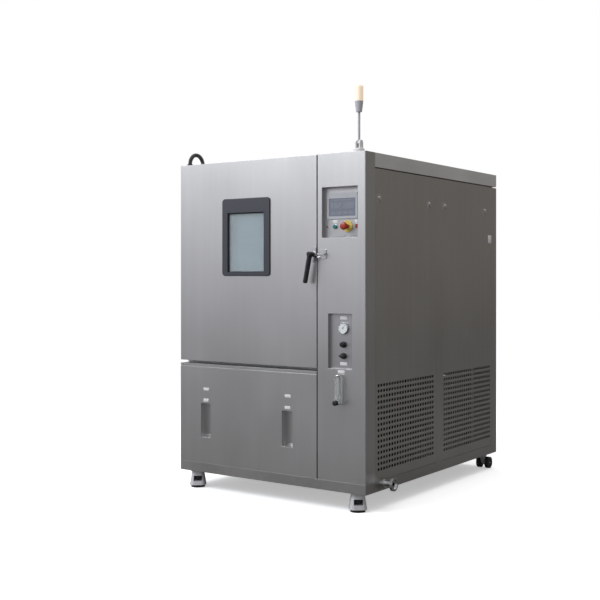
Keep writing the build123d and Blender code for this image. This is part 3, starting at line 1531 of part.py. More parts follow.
# Rear castors: a plate with its race on the cabinet, a swivelling fork, two wheels
rear_castor_y = rear - rear_castor_inset
castor_centres_x = (left + castor_inset, right - castor_inset)
race_low = base_bottom - castor_plate_thickness - castor_race_height
head_low = race_low - seat - castor_head_height
axle_y = rear_castor_y + castor_trail
wheel_inner = (castor_wheel_spacing - castor_wheel_width) / 2
with BuildPart() as rear_castor_plates:
    for castor_x in castor_centres_x:
        centre = (castor_x, rear_castor_y)
        with BuildSketch(seen_from_above(base_bottom - castor_plate_thickness)):
            with Locations(centre):
                Rectangle(castor_plate, castor_plate)
        extrude(amount=castor_plate_thickness)
        with BuildSketch(seen_from_above(race_low)):
            with Locations(centre):
                Circle(castor_head_radius)
        extrude(amount=castor_race_height)
rear_castor_plates.part.label = "rear_castor_plates"
export_step(rear_castor_plates.part, "parts/rear_castor_plates.step")

for side, castor_x in zip(("left", "right"), castor_centres_x):
    with BuildPart() as fork:
        with BuildSketch(seen_from_above(head_low)):
            with Locations((castor_x, rear_castor_y)):
                Circle(castor_head_radius)
        extrude(amount=castor_head_height)
        with BuildSketch(seen_from_right(castor_x - castor_fork_width / 2)):
            with Locations((axle_y, castor_wheel_radius)):
                Circle(castor_axle_radius * 3)
            with BuildLine():
                Polyline((rear_castor_y - castor_head_radius * 0.8, head_low + 1),
                         (axle_y - castor_axle_radius * 3, castor_wheel_radius),
                         (axle_y + castor_axle_radius * 3, castor_wheel_radius),
                         (rear_castor_y + castor_head_radius, head_low + 1), close=True)
            make_face()
        extrude(amount=castor_fork_width)
        axle_reach = castor_wheel_spacing / 2 + castor_wheel_width / 2
        with BuildSketch(seen_from_right(castor_x - axle_reach)):
            with Locations((axle_y, castor_wheel_radius)):
                Circle(castor_axle_radius)
        extrude(amount=2 * axle_reach)
    fork.part.label = f"rear_{side}_fork"
    export_step(fork.part, f"parts/rear_{side}_fork.step")

    with BuildPart() as wheels:
        for wheel_x in (castor_x - wheel_inner - castor_wheel_width, castor_x + wheel_inner):
            with BuildSketch(seen_from_right(wheel_x)):
                with Locations((axle_y, castor_wheel_radius)):
                    Circle(castor_wheel_radius)
                    Circle(castor_axle_radius + running, mode=Mode.SUBTRACT)
            extrude(amount=castor_wheel_width)
    wheels.part.label = f"rear_{side}_wheels"
    export_step(wheels.part, f"parts/rear_{side}_wheels.step")
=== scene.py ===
from math import cos, pi, radians, sin

import bmesh
import bpy
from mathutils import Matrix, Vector


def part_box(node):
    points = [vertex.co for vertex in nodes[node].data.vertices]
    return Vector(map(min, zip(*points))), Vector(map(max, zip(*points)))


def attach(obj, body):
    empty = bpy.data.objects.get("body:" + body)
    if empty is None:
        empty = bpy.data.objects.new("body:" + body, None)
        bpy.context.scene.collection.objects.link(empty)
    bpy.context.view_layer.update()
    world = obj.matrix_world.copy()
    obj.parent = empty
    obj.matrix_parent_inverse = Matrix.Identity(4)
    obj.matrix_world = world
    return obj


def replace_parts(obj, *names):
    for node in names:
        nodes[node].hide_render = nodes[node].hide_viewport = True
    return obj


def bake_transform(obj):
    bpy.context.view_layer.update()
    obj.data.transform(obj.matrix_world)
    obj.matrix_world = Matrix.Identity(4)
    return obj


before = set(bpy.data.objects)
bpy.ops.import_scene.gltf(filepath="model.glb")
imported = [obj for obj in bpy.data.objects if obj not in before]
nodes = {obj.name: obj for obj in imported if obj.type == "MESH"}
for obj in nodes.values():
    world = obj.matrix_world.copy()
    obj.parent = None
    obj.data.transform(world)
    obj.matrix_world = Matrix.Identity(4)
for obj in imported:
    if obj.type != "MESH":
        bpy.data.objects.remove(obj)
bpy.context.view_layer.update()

# View, floor and light. The camera stands level at chest height, well to the right of
# the chamber, with the object on a pale floor in a soft studio light.
column_low, column_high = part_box("control_column")
front_y = column_low.y
right_x = column_high.x
camera_turn = radians(35.2)
camera_height = 1.288
camera = bpy.data.objects.new("camera", bpy.data.cameras.new("camera"))
camera.data.sensor_width = 36
camera.data.lens = 61.14
camera.data.shift_y = -25 / 600
camera.data.clip_end = 200
camera.location = (right_x + 2.8585, front_y - 4.6607, camera_height)
camera.rotation_euler = (radians(90), 0, camera_turn)
bpy.context.scene.collection.objects.link(camera)
bpy.context.scene.camera = camera
bpy.context.scene.view_settings.view_transform = "Standard"

world = bpy.data.worlds.new("studio")
bpy.context.scene.world = world
world.use_nodes = True
sky = world.node_tree
sky.nodes.clear()
direction = sky.nodes.new("ShaderNodeTexCoord")
toward_key = sky.nodes.new("ShaderNodeVectorMath")
toward_key.operation = "DOT_PRODUCT"
toward_key.inputs[1].default_value = (-0.50, -0.72, 0.48)
brightness = sky.nodes.new("ShaderNodeMapRange")
brightness.interpolation_type = "SMOOTHSTEP"
brightness.inputs["From Min"].default_value = -0.75
brightness.inputs["From Max"].default_value = 0.9
shade = sky.nodes.new("ShaderNodeValToRGB")
shade.color_ramp.elements[0].color = (0.20, 0.192, 0.18, 1)
shade.color_ramp.elements[1].color = (0.86, 0.88, 0.94, 1)
middle = shade.color_ramp.elements.new(0.45)
middle.color = (0.46, 0.452, 0.44, 1)
ray = sky.nodes.new("ShaderNodeLightPath")
seen = sky.nodes.new("ShaderNodeMath")
seen.operation = "MAXIMUM"
paper = sky.nodes.new("ShaderNodeMix")
paper.data_type = "RGBA"
paper.inputs["B"].default_value = (1, 1, 1, 1)
background = sky.nodes.new("ShaderNodeBackground")
sky_output = sky.nodes.new("ShaderNodeOutputWorld")
sky.links.new(direction.outputs["Generated"], toward_key.inputs[0])
sky.links.new(toward_key.outputs["Value"], brightness.inputs["Value"])
sky.links.new(brightness.outputs["Result"], shade.inputs["Fac"])
sky.links.new(ray.outputs["Is Camera Ray"], seen.inputs[0])
sky.links.new(ray.outputs["Is Transmission Ray"], seen.inputs[1])
sky.links.new(seen.outputs["Value"], paper.inputs["Factor"])
sky.links.new(shade.outputs["Color"], paper.inputs["A"])
sky.links.new(paper.outputs["Result"], background.inputs["Color"])
sky.links.new(background.outputs["Background"], sky_output.inputs["Surface"])


def softbox(name, place, aim, size, power, color):
    """Area lamp at a place, aimed at a point."""
    lamp = bpy.data.objects.new(name, bpy.data.lights.new(name, "AREA"))
    lamp.data.shape = "RECTANGLE"
    lamp.data.size = size[0]
    lamp.data.size_y = size[1]
    lamp.data.energy = power
    lamp.data.color = color
    lamp.location = place
    lamp.rotation_euler = (Vector(aim) - Vector(place)).to_track_quat("-Z", "Y").to_euler()
    bpy.context.scene.collection.objects.link(lamp)


softbox("high_softbox", (-2.4, -4.2, 4.4), (0, -0.6, 1.3), (3.6, 2.4), 175, (0.95, 0.98, 1))
softbox("top_softbox", (0.6, 0.4, 5.0), (0, 0, 0), (4.5, 4.5), 110, (1, 1, 1))

floor_half = 30
floor_mesh = bpy.data.meshes.new("floor")
floor_mesh.from_pydata([(-floor_half, -floor_half, 0), (floor_half, -floor_half, 0),
                        (floor_half, floor_half, 0), (-floor_half, floor_half, 0)],
                       [], [(0, 1, 2, 3)])
floor = bpy.data.objects.new("floor", floor_mesh)
bpy.context.scene.collection.objects.link(floor)
floor_paper = bpy.data.materials.new("studio paper")
floor_paper.use_nodes = True
paper_tree = floor_paper.node_tree
paper_tree.nodes.clear()
lit = paper_tree.nodes.new("ShaderNodeBsdfDiffuse")
paper_tone = paper_tree.nodes.new("ShaderNodeMix")
paper_tone.data_type = "RGBA"
paper_tone.inputs["A"].default_value = (0.17, 0.165, 0.16, 1)
paper_tone.inputs["B"].default_value = (0.95, 0.95, 0.95, 1)
lift = paper_tree.nodes.new("ShaderNodeEmission")
lift.inputs["Color"].default_value = (1, 1, 1, 1)
floor_ray = paper_tree.nodes.new("ShaderNodeLightPath")
lift_share = paper_tree.nodes.new("ShaderNodeMath")
lift_share.operation = "MULTIPLY"
lift_share.inputs[1].default_value = 0.42
both = paper_tree.nodes.new("ShaderNodeAddShader")
paper_output = paper_tree.nodes.new("ShaderNodeOutputMaterial")
paper_tree.links.new(floor_ray.outputs["Is Camera Ray"], lift_share.inputs[0])
paper_tree.links.new(floor_ray.outputs["Is Camera Ray"], paper_tone.inputs["Factor"])
paper_tree.links.new(paper_tone.outputs["Result"], lit.inputs["Color"])
paper_tree.links.new(lift_share.outputs["Value"], lift.inputs["Strength"])
paper_tree.links.new(lit.outputs["BSDF"], both.inputs[0])
paper_tree.links.new(lift.outputs["Emission"], both.inputs[1])
paper_tree.links.new(both.outputs["Shader"], paper_output.inputs["Surface"])
floor_mesh.materials.append(floor_paper)


# Sheet of the cabinet: 2 mm stainless, brushed along its height after folding. The grain
# is fine streaks; wider bands and faint cloudy wipe marks show in a slanting light.
def group_with(name, inputs, outputs):
    """Empty node group with named float inputs, a vector input and named outputs."""
    group = bpy.data.node_groups.new(name, "ShaderNodeTree")
    group.interface.new_socket("Vector", in_out="INPUT", socket_type="NodeSocketVector")
    for socket, value in inputs.items():
        made = group.interface.new_socket(socket, in_out="INPUT", socket_type="NodeSocketFloat")
        made.default_value = value
    for socket in outputs:
        group.interface.new_socket(socket, in_out="OUTPUT", socket_type="NodeSocketFloat")
    return group, group.nodes.new("NodeGroupInput"), group.nodes.new("NodeGroupOutput")


def calculate(tree, operation, first, second):
    """Math node of two sockets or numbers, in a tree."""
    node = tree.nodes.new("ShaderNodeMath")
    node.operation = operation
    for place, value in enumerate((first, second)):
        if isinstance(value, (int, float)):
            node.inputs[place].default_value = value
        else:
            tree.links.new(value, node.inputs[place])
    return node.outputs["Value"]


def noise(tree, vector, stretch, detail=3):
    """Noise whose grain has its own frequency on each axis."""
    mapping = tree.nodes.new("ShaderNodeMapping")
    mapping.inputs["Scale"].default_value = stretch
    texture = tree.nodes.new("ShaderNodeTexNoise")
    texture.inputs["Scale"].default_value = 1
    texture.inputs["Detail"].default_value = detail
    tree.links.new(vector, mapping.inputs["Vector"])
    tree.links.new(mapping.outputs["Vector"], texture.inputs["Vector"])
    return texture.outputs["Fac"]


grain_group, grain_in, grain_out = group_with(
    "brushed grain", {"Streaks": 0.5, "Wipes": 0.5}, ("Tone", "Roughness", "Height"))
fine = noise(grain_group, grain_in.outputs["Vector"], (1400, 1400, 12), 4)
band = noise(grain_group, grain_in.outputs["Vector"], (22, 22, 0.7), 2)
cloud = noise(grain_group, grain_in.outputs["Vector"], (2.6, 2.6, 1.8), 5)
streaks = calculate(grain_group, "MULTIPLY", calculate(grain_group, "SUBTRACT", fine, 0.5),
                    grain_in.outputs["Streaks"])
bands = calculate(grain_group, "MULTIPLY", calculate(grain_group, "SUBTRACT", band, 0.5),
                  grain_in.outputs["Wipes"])
clouds = calculate(grain_group, "MULTIPLY", calculate(grain_group, "SUBTRACT", cloud, 0.5),
                   grain_in.outputs["Wipes"])
tone = calculate(grain_group, "ADD", streaks, calculate(grain_group, "ADD", bands, clouds))
grain_group.links.new(calculate(grain_group, "ADD", 0.5, tone), grain_out.inputs["Tone"])
rough = calculate(grain_group, "ADD", calculate(grain_group, "MULTIPLY", clouds, 0.5),
                  calculate(grain_group, "MULTIPLY", streaks, 0.3))
grain_group.links.new(rough, grain_out.inputs["Roughness"])
grain_group.links.new(fine, grain_out.inputs["Height"])


def new_material(name):
    """Node material with a Principled shader, and its tree and shader."""
    material = bpy.data.materials.new(name)
    material.use_nodes = True
    tree = material.node_tree
    return material, tree, tree.nodes["Principled BSDF"]


def two_tone(tree, mask, dark, light):
    """Colour between two tones by a mask."""
    mix = tree.nodes.new("ShaderNodeMix")
    mix.data_type = "RGBA"
    mix.inputs["A"].default_value = (*dark, 1)
    mix.inputs["B"].default_value = (*light, 1)
    tree.links.new(mask, mix.inputs["Factor"])
    return mix.outputs["Result"]


def soft_edges(tree, radius):
    """Normal that rounds the sharp folds of a sheet over a small radius."""
    bevel = tree.nodes.new("ShaderNodeBevel")
    bevel.samples = 4
    bevel.inputs["Radius"].default_value = radius
    return bevel.outputs["Normal"]


def brushed_sheet(name, dark, light, roughness, streaks=0.35, wipes=0.5, fold=0.0016,
                  along="Z"):
    """Stainless sheet whose grain runs along one axis."""
    material, tree, shader = new_material(name)
    place = tree.nodes.new("ShaderNodeTexCoord")
    aligned = tree.nodes.new("ShaderNodeMapping")
    aligned.inputs["Rotation"].default_value = {"Z": (0, 0, 0), "Y": (radians(90), 0, 0)}[along]
    tree.links.new(place.outputs["Object"], aligned.inputs["Vector"])
    grain = tree.nodes.new("ShaderNodeGroup")
    grain.node_tree = grain_group
    grain.inputs["Streaks"].default_value = streaks
    grain.inputs["Wipes"].default_value = wipes
    tree.links.new(aligned.outputs["Vector"], grain.inputs["Vector"])
    tree.links.new(two_tone(tree, grain.outputs["Tone"], dark, light),
                   shader.inputs["Base Color"])
    tree.links.new(calculate(tree, "ADD", grain.outputs["Roughness"], roughness),
                   shader.inputs["Roughness"])
    bump = tree.nodes.new("ShaderNodeBump")
    bump.inputs["Strength"].default_value = 0.12
    bump.inputs["Distance"].default_value = 0.0002
    tree.links.new(grain.outputs["Height"], bump.inputs["Height"])
    tree.links.new(soft_edges(tree, fold), bump.inputs["Normal"])
    tree.links.new(bump.outputs["Normal"], shader.inputs["Normal"])
    shader.inputs["Metallic"].default_value = 1
    shader.inputs["Anisotropic"].default_value = 0.35
    return material


def wear(material, *names):
    """Gives CAD nodes a material."""
    for name in names:
        slots = nodes[name].data.materials
        slots.clear()
        slots.append(material)


door_steel = brushed_sheet("door steel", (0.51, 0.50, 0.495), (0.64, 0.635, 0.635), 0.36,
                           wipes=0.35)
wear(door_steel, "door_skin", "lower_panel", "control_column")
# The recess trays get a darker copy of the door steel: painted shade for the shadow that falls
# inside the recesses.
tray_steel_painted_shade = brushed_sheet("tray steel painted shade", (0.40, 0.395, 0.40), (0.52, 0.515, 0.52), 0.42,
                           wipes=0.3)
wear(tray_steel_painted_shade, "recess_trays")
side_steel = brushed_sheet("side steel", (0.47, 0.455, 0.435), (0.60, 0.585, 0.565), 0.38,
                           wipes=0.4)
wear(side_steel, "body_frame", "left_panel", "rear_panel", "panel_latches")
# The roof cap is the same stainless with its grain along Y; its much lighter colour is a
# painted sheen for the bright reflection of the top light.
roof_steel_painted_sheen = brushed_sheet("roof steel painted sheen", (0.74, 0.735, 0.73), (0.88, 0.875, 0.87), 0.55,
                           along="Y")
wear(roof_steel_painted_sheen, "roof_cap")
base_steel = brushed_sheet("base steel", (0.44, 0.43, 0.42), (0.60, 0.59, 0.58), 0.36,
                           along="Y")
wear(base_steel, "base_frame")


# Side panels with a punched field: sixteen rows of twenty-two short slots with rounded
# corners, in a sheet whose four edges are folded back. Each hangs on two latches.
class Sheet:
    """Mesh of a sheet, with shared points."""

    def __init__(self):
        self.mesh = bmesh.new()
        self.points = {}

    def point(self, place):
        key = tuple(round(value, 6) for value in place)
        if key not in self.points:
            self.points[key] = self.mesh.verts.new(place)
        return self.points[key]

    def face(self, *places):
        corners = [self.point(place) for place in places]
        if len(set(corners)) > 2:
            try:
                self.mesh.faces.new(corners)
            except ValueError:
                pass

    def piece(self, name, material, body):
        bmesh.ops.recalc_face_normals(self.mesh, faces=self.mesh.faces)
        return make_piece(name, self.mesh, material, body)


def make_piece(name, mesh, material, body, smooth=False):
    """Object from a bmesh, with its material and body."""
    data = bpy.data.meshes.new(name)
    mesh.to_mesh(data)
    mesh.free()
    data.materials.append(material)
    data.polygons.foreach_set("use_smooth", [smooth] * len(data.polygons))
    made = bpy.data.objects.new(name, data)
    bpy.context.scene.collection.objects.link(made)
    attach(made, body)
    return made


panel_steel = brushed_sheet("punched panel steel", (0.47, 0.455, 0.435),
                            (0.60, 0.585, 0.565), 0.38, wipes=0.4)
rows = 16
columns = 22
row_pitch = 0.0306
slot_height = 0.0165
slot_share = 0.68
corner_radius = 0.004
first_row_z = 0.224
panel_sheet = 0.0015
field_margins = {"side_panel_front": (0.020, 0.029), "side_panel_rear": (0.020, 0.005)}
for name, (near_margin, far_margin) in field_margins.items():
    low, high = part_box(name)
    panel = Sheet()
    face_x = high.x
    field_start = low.y + near_margin
    column_pitch = (high.y - far_margin - field_start) / columns
    slot_length = column_pitch * slot_share
    field_low = first_row_z - row_pitch / 2
    lines_y = [low.y] + [field_start + i * column_pitch for i in range(columns + 1)] + [high.y]
    lines_z = [low.z] + [field_low + i * row_pitch for i in range(rows + 1)] + [high.z]
    for i in range(len(lines_y) - 1):
        for k in range(len(lines_z) - 1):
            y0, y1, z0, z1 = lines_y[i], lines_y[i + 1], lines_z[k], lines_z[k + 1]
            cell = [(face_x, y0, z0), (face_x, y1, z0), (face_x, y1, z1), (face_x, y0, z1)]
            if i in (0, columns + 1) or k in (0, rows + 1):
                panel.face(*cell)
                continue
            centre_y, centre_z = (y0 + y1) / 2, (z0 + z1) / 2
            rim = []
            for corner, (side_y, side_z) in enumerate(((-1, -1), (1, -1), (1, 1), (-1, 1))):
                arc = []
                for step in range(3):
                    angle = pi + corner * pi / 2 + step * pi / 4
                    arc.append((face_x,
                                centre_y + side_y * (slot_length / 2 - corner_radius)
                                + corner_radius * cos(angle),
                                centre_z + side_z * (slot_height / 2 - corner_radius)
                                + corner_radius * sin(angle)))
                rim.append(arc)
            for corner in range(4):
                after = (corner + 1) % 4
                panel.face(cell[corner], cell[after], rim[after][0], rim[corner][2])
                panel.face(cell[corner], rim[corner][1], rim[corner][0])
                panel.face(cell[corner], rim[corner][2], rim[corner][1])
    panel_object = panel.piece(name.replace("side_", "punched_"), panel_steel, "cabinet")
    sheet_data = panel_object.data
    fold = bmesh.new()
    fold.from_mesh(sheet_data)
    fold.faces.ensure_lookup_table()
    if fold.faces[0].normal.x < 0:
        bmesh.ops.reverse_faces(fold, faces=fold.faces)
    edge_loop = [edge for edge in fold.edges if edge.is_boundary
                 and all(min(abs(v.co.y - low.y), abs(v.co.y - high.y),
                             abs(v.co.z - low.z), abs(v.co.z - high.z)) < 1e-5
                         for v in edge.verts)]
    returned = bmesh.ops.extrude_edge_only(fold, edges=edge_loop)
    for part in returned["geom"]:
        if isinstance(part, bmesh.types.BMVert):
            part.co.x = low.x
    fold.to_mesh(sheet_data)
    fold.free()
    thickness = panel_object.modifiers.new("thickness", "SOLIDIFY")
    thickness.thickness = panel_sheet
    thickness.offset = -1
    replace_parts(panel_object, name)


# Window: a moulded dark frame with rounded corners round a sealed unit of three panes. A
# soft bead closes the joint, and a heated film gives the glass a milky blue-green cast.
def slab(low, high, edge, segments=2):
    """Block between two corners with rounded edges."""
    mesh = bmesh.new()
    bmesh.ops.create_cube(mesh, size=1)
    low, high = Vector(low), Vector(high)
    for vert in mesh.verts:
        vert.co = Vector((low[i] + (vert.co[i] + 0.5) * (high[i] - low[i]) for i in range(3)))
    bmesh.ops.bevel(mesh, geom=mesh.edges[:], offset=edge, segments=segments,
                    affect="EDGES", profile=0.5)
    return mesh


def joined(*meshes):
    """One bmesh from several."""
    whole = bmesh.new()
    for part in meshes:
        data = bpy.data.meshes.new("part")
        part.to_mesh(data)
        part.free()
        whole.from_mesh(data)
        bpy.data.meshes.remove(data)
    return whole


def skin(mesh, rings):
    """Faces between neighbouring rings of points, with a cap on the first and the last."""
    for first, second in zip(rings, rings[1:]):
        for step in range(len(first)):
            after = (step + 1) % len(first)
            mesh.faces.new((first[step], first[after], second[after], second[step]))
    mesh.faces.new(rings[0])
    mesh.faces.new(rings[-1])
    bmesh.ops.recalc_face_normals(mesh, faces=mesh.faces)


def turned(profile, centre, axis="-Y", segments=64, wave=0, depth=0, waved=()):
    """Round piece from (distance along the axis, radius) pairs. The rings named in waved
    have their radius pulled in by depth at each of the waves."""
    mesh = bmesh.new()
    rings = []
    for place, (along, radius) in enumerate(profile):
        ring = []
        for step in range(segments):
            angle = 2 * pi * step / segments
            local = radius
            if wave and place in waved:
                local -= depth * (0.5 - 0.5 * cos(wave * angle))
            across, up = local * cos(angle), local * sin(angle)
            offset = {"-Y": (across, -along, up), "Z": (across, up, along),
                      "X": (along, across, up)}[axis]
            ring.append(mesh.verts.new(Vector(centre) + Vector(offset)))
        rings.append(ring)
    skin(mesh, rings)
    return mesh


def plain_surface(name, color, roughness, metallic=0, speck=0.08, speck_scale=60,
                  bump_height=0.0001, edge=0.0008):
    """Painted, moulded or cast surface with a little uneven tone, gloss and texture."""
    material, tree, shader = new_material(name)
    place = tree.nodes.new("ShaderNodeTexCoord")
    grain = noise(tree, place.outputs["Object"], (speck_scale,) * 3, 6)
    dark = [channel * (1 - speck) for channel in color]
    light = [min(1, channel * (1 + speck)) for channel in color]
    tree.links.new(two_tone(tree, grain, dark, light), shader.inputs["Base Color"])
    shift = calculate(tree, "MULTIPLY", calculate(tree, "SUBTRACT", grain, 0.5), 0.25)
    tree.links.new(calculate(tree, "ADD", shift, roughness), shader.inputs["Roughness"])
    bump = tree.nodes.new("ShaderNodeBump")
    bump.inputs["Strength"].default_value = 0.3
    bump.inputs["Distance"].default_value = bump_height
    tree.links.new(noise(tree, place.outputs["Object"], (speck_scale * 12,) * 3, 2),
                   bump.inputs["Height"])
    tree.links.new(soft_edges(tree, edge), bump.inputs["Normal"])
    tree.links.new(bump.outputs["Normal"], shader.inputs["Normal"])
    shader.inputs["Metallic"].default_value = metallic
    return material


def smooth_piece(name, mesh, material, body, angle=35):
    """Piece with smooth faces that stay sharp at its hard edges."""
    made = make_piece(name, mesh, material, body, smooth=True)
    made.data.set_sharp_from_angle(angle=radians(angle))
    return made


dark_moulding = plain_surface("dark moulding", (0.036, 0.038, 0.050), 0.5, edge=0.002)
wear(dark_moulding, "window_frame")
clear_pane, pane_tree, pane = new_material("filmed glass")
pane.inputs["Transmission Weight"].default_value = 0.74
pane.inputs["IOR"].default_value = 1.35
pane.inputs["Specular IOR Level"].default_value = 0.5
smear = noise(pane_tree, pane_tree.nodes.new("ShaderNodeTexCoord").outputs["Object"],
              (5, 5, 9), 4)
pane_tree.links.new(two_tone(pane_tree, smear, (0.74, 0.83, 0.87), (0.79, 0.88, 0.92)),
                    pane.inputs["Base Color"])
pane_tree.links.new(calculate(pane_tree, "MULTIPLY", smear, 0.04), pane.inputs["Roughness"])
wear(clear_pane, "window_glass")

seal_rubber = plain_surface("seal rubber", (0.022, 0.022, 0.024), 0.6, speck=0.2)
pane_low, pane_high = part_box("window_glass")
bead = 0.005
bead_rounding = 0.0015
bead_y = pane_low.y
bead_mesh = joined(
    slab((pane_low.x, bead_y - bead, pane_low.z),
         (pane_high.x, bead_y, pane_low.z + bead), bead_rounding),
    slab((pane_low.x, bead_y - bead, pane_high.z - bead),
         (pane_high.x, bead_y, pane_high.z), bead_rounding),
    slab((pane_low.x, bead_y - bead, pane_low.z + bead),
         (pane_low.x + bead, bead_y, pane_high.z - bead), bead_rounding),
    slab((pane_high.x - bead, bead_y - bead, pane_low.z + bead),
         (pane_high.x, bead_y, pane_high.z - bead), bead_rounding))
smooth_piece("window_bead", bead_mesh, seal_rubber, "door")


# Chamber: a bright stainless liner with a lamp in a steel ring high on its left wall, wire
# shelves that rest on folded rails, and a plate in front of the fan.
liner_steel = brushed_sheet("liner steel", (0.56, 0.56, 0.56), (0.72, 0.72, 0.72), 0.3,
                            streaks=0.2)
wear(liner_steel, "chamber_liner", "rear_baffle", "door_plug", "circulation_fan")
wear(plain_surface("thermal break", (0.55, 0.56, 0.57), 0.35), "mouth_frame")
wear(plain_surface("mineral wool", (0.62, 0.55, 0.30), 0.9, speck=0.35, speck_scale=220,
                   bump_height=0.002), "insulation")
wear(brushed_sheet("port steel", (0.55, 0.55, 0.55), (0.7, 0.7, 0.7), 0.3), "cable_port")

lamp_glass, lamp_tree, lamp_shader = new_material("lamp glass")
lamp_fleck = noise(lamp_tree, lamp_tree.nodes.new("ShaderNodeTexCoord").outputs["Object"],
                   (40, 40, 40), 2)
lamp_tree.links.new(two_tone(lamp_tree, lamp_fleck, (0.85, 0.95, 0.92), (0.95, 1, 0.98)),
                    lamp_shader.inputs["Base Color"])
lamp_shader.inputs["Roughness"].default_value = 0.25
lamp_shader.inputs["Emission Color"].default_value = (0.88, 1, 0.97, 1)
lamp_shader.inputs["Emission Strength"].default_value = 20
liner_low, liner_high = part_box("chamber_liner")
liner_sheet = 0.0015
lamp_from_front = 0.22
lamp_below_top = 0.14
lamp_place = (liner_low.x + liner_sheet, liner_low.y + lamp_from_front,
              liner_high.z - lamp_below_top)
lamp_mesh = turned([(0.010, 0.030), (0.032, 0.030), (0.044, 0.027), (0.052, 0.020),
                    (0.056, 0.010), (0.057, 0.001)], lamp_place, "X")
smooth_piece("chamber_lamp", lamp_mesh, lamp_glass, "cabinet")
polished = brushed_sheet("polished steel", (0.66, 0.66, 0.67), (0.80, 0.80, 0.81), 0.16,
                         streaks=0.15, wipes=0.2, fold=0.0008)
lamp_ring = turned([(0, 0.042), (0.006, 0.042), (0.011, 0.038), (0.013, 0.031), (0, 0.031)],
                   lamp_place, "X")
smooth_piece("chamber_lamp_ring", lamp_ring, polished, "cabinet")


def rod(points, radius, sides=10):
    """Round bar through a list of points."""
    mesh = bmesh.new()
    rings = []
    for place, point in enumerate(points):
        ahead = Vector(points[min(place + 1, len(points) - 1)])
        behind = Vector(points[max(place - 1, 0)])
        along = (ahead - behind).normalized()
        side = along.orthogonal().normalized() if not rings else (
            last_side - along * last_side.dot(along)).normalized()
        last_side = side
        up = along.cross(side)
        rings.append([mesh.verts.new(Vector(point) + radius * (
            cos(2 * pi * step / sides) * side + sin(2 * pi * step / sides) * up))
            for step in range(sides)])
    skin(mesh, rings)
    return mesh


shelf_low, shelf_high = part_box("wire_shelves")
wire_count = 26
cross_bars = 3
frame_radius = 0.004
frame_corner = 0.012
bar_radius = 0.003
bar_drop = 0.001
wire_radius = 0.0018
wire_rise = 0.002
wall_gap = 0.004
rest_gap = 0.0003
rail_drop = 0.016
rail_reach = 0.016
rail_sheet = 0.002
rail_rounding = 0.0006
lower_shelf_z = shelf_low.z + rail_drop
upper_shelf_z = shelf_high.z - 2 * frame_radius - rest_gap
x0, x1 = shelf_low.x + wall_gap + frame_radius, shelf_high.x - wall_gap - frame_radius
y0, y1 = shelf_low.y + frame_radius, shelf_high.y - frame_radius
shelf_parts = []
for shelf_z in (lower_shelf_z, upper_shelf_z):
    wire_z = shelf_z + rest_gap + frame_radius
    loop = [(x0 + frame_corner, y0, wire_z), (x1 - frame_corner, y0, wire_z),
            (x1, y0 + frame_corner, wire_z), (x1, y1 - frame_corner, wire_z),
            (x1 - frame_corner, y1, wire_z), (x0 + frame_corner, y1, wire_z),
            (x0, y1 - frame_corner, wire_z), (x0, y0 + frame_corner, wire_z),
            (x0 + frame_corner, y0, wire_z)]
    shelf_parts.append(rod(loop, frame_radius))
    for bar in range(1, cross_bars + 1):
        bar_y = y0 + bar * (y1 - y0) / (cross_bars + 1)
        shelf_parts.append(rod([(x0, bar_y, wire_z - bar_drop), (x1, bar_y, wire_z - bar_drop)],
                               bar_radius))
    for wire in range(1, wire_count + 1):
        wire_x = x0 + wire * (x1 - x0) / (wire_count + 1)
        shelf_parts.append(rod([(wire_x, y0, wire_z + wire_rise),
                                (wire_x, y1, wire_z + wire_rise)], wire_radius, 6))
    for wall_x, inward in ((shelf_low.x, 1), (shelf_high.x, -1)):
        web_x = sorted((wall_x, wall_x + inward * rail_sheet))
        lip_x = sorted((wall_x, wall_x + inward * rail_reach))
        shelf_parts.append(slab((web_x[0], shelf_low.y, shelf_z - rail_drop),
                                (web_x[1], shelf_high.y, shelf_z), rail_rounding))
        shelf_parts.append(slab((lip_x[0], shelf_low.y, shelf_z - rail_sheet),
                                (lip_x[1], shelf_high.y, shelf_z), rail_rounding))
shelves = smooth_piece("shelf_wires", joined(*shelf_parts), polished, "cabinet")
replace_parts(shelves, "wire_shelves")

# Door seal: a soft white silicone profile in four mitred lengths, with two lips that run
# all round and a narrow channel between them.
gasket_low, gasket_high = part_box("door_gasket")
plug_low, plug_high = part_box("door_plug")
silicone = plain_surface("silicone", (0.60, 0.60, 0.57), 0.5, speck=0.05)
seal = bmesh.new()
band_width = (gasket_high.x - gasket_low.x - (plug_high.x - plug_low.x)) / 2
thick = gasket_high.y - gasket_low.y
section = [(0, 0), (0, 0.75), (0.12, 0.97), (0.26, 0.9), (0.36, 0.55), (0.52, 0.45),
           (0.64, 0.55), (0.74, 0.9), (0.88, 0.97), (1, 0.75), (1, 0)]
corners = []
for across, rise in section:
    inset = across * band_width
    y = gasket_low.y + rise * thick
    corners.append([seal.verts.new(place) for place in (
        (gasket_low.x + inset, y, gasket_low.z + inset),
        (gasket_high.x - inset, y, gasket_low.z + inset),
        (gasket_high.x - inset, y, gasket_high.z - inset),
        (gasket_low.x + inset, y, gasket_high.z - inset))])
for first, second in zip(corners, corners[1:] + corners[:1]):
    for step in range(4):
        after = (step + 1) % 4
        seal.faces.new((first[step], first[after], second[after], second[step]))
bmesh.ops.recalc_face_normals(seal, faces=seal.faces)
door_seal = smooth_piece("door_seal", seal, silicone, "door", 50)
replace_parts(door_seal, "door_gasket")

# Machines behind the punched panels: black enamelled compressors with copper pipes, a blue
# fan motor, and finned coils. They show only as dim shapes through the slots.
wear(plain_surface("black enamel", (0.016, 0.016, 0.018), 0.35), "compressors")
wear(plain_surface("blue enamel", (0.02, 0.06, 0.16), 0.4), "fan_motor")
wear(plain_surface("copper pipe", (0.42, 0.17, 0.09), 0.35, metallic=1, speck=0.25,
                   speck_scale=25), "refrigerant_pipes")
wear(plain_surface("fan black", (0.02, 0.02, 0.022), 0.5), "condenser_fan")
wear(plain_surface("bare aluminium", (0.42, 0.43, 0.44), 0.42, metallic=1), "condenser",
     "duct_coils")

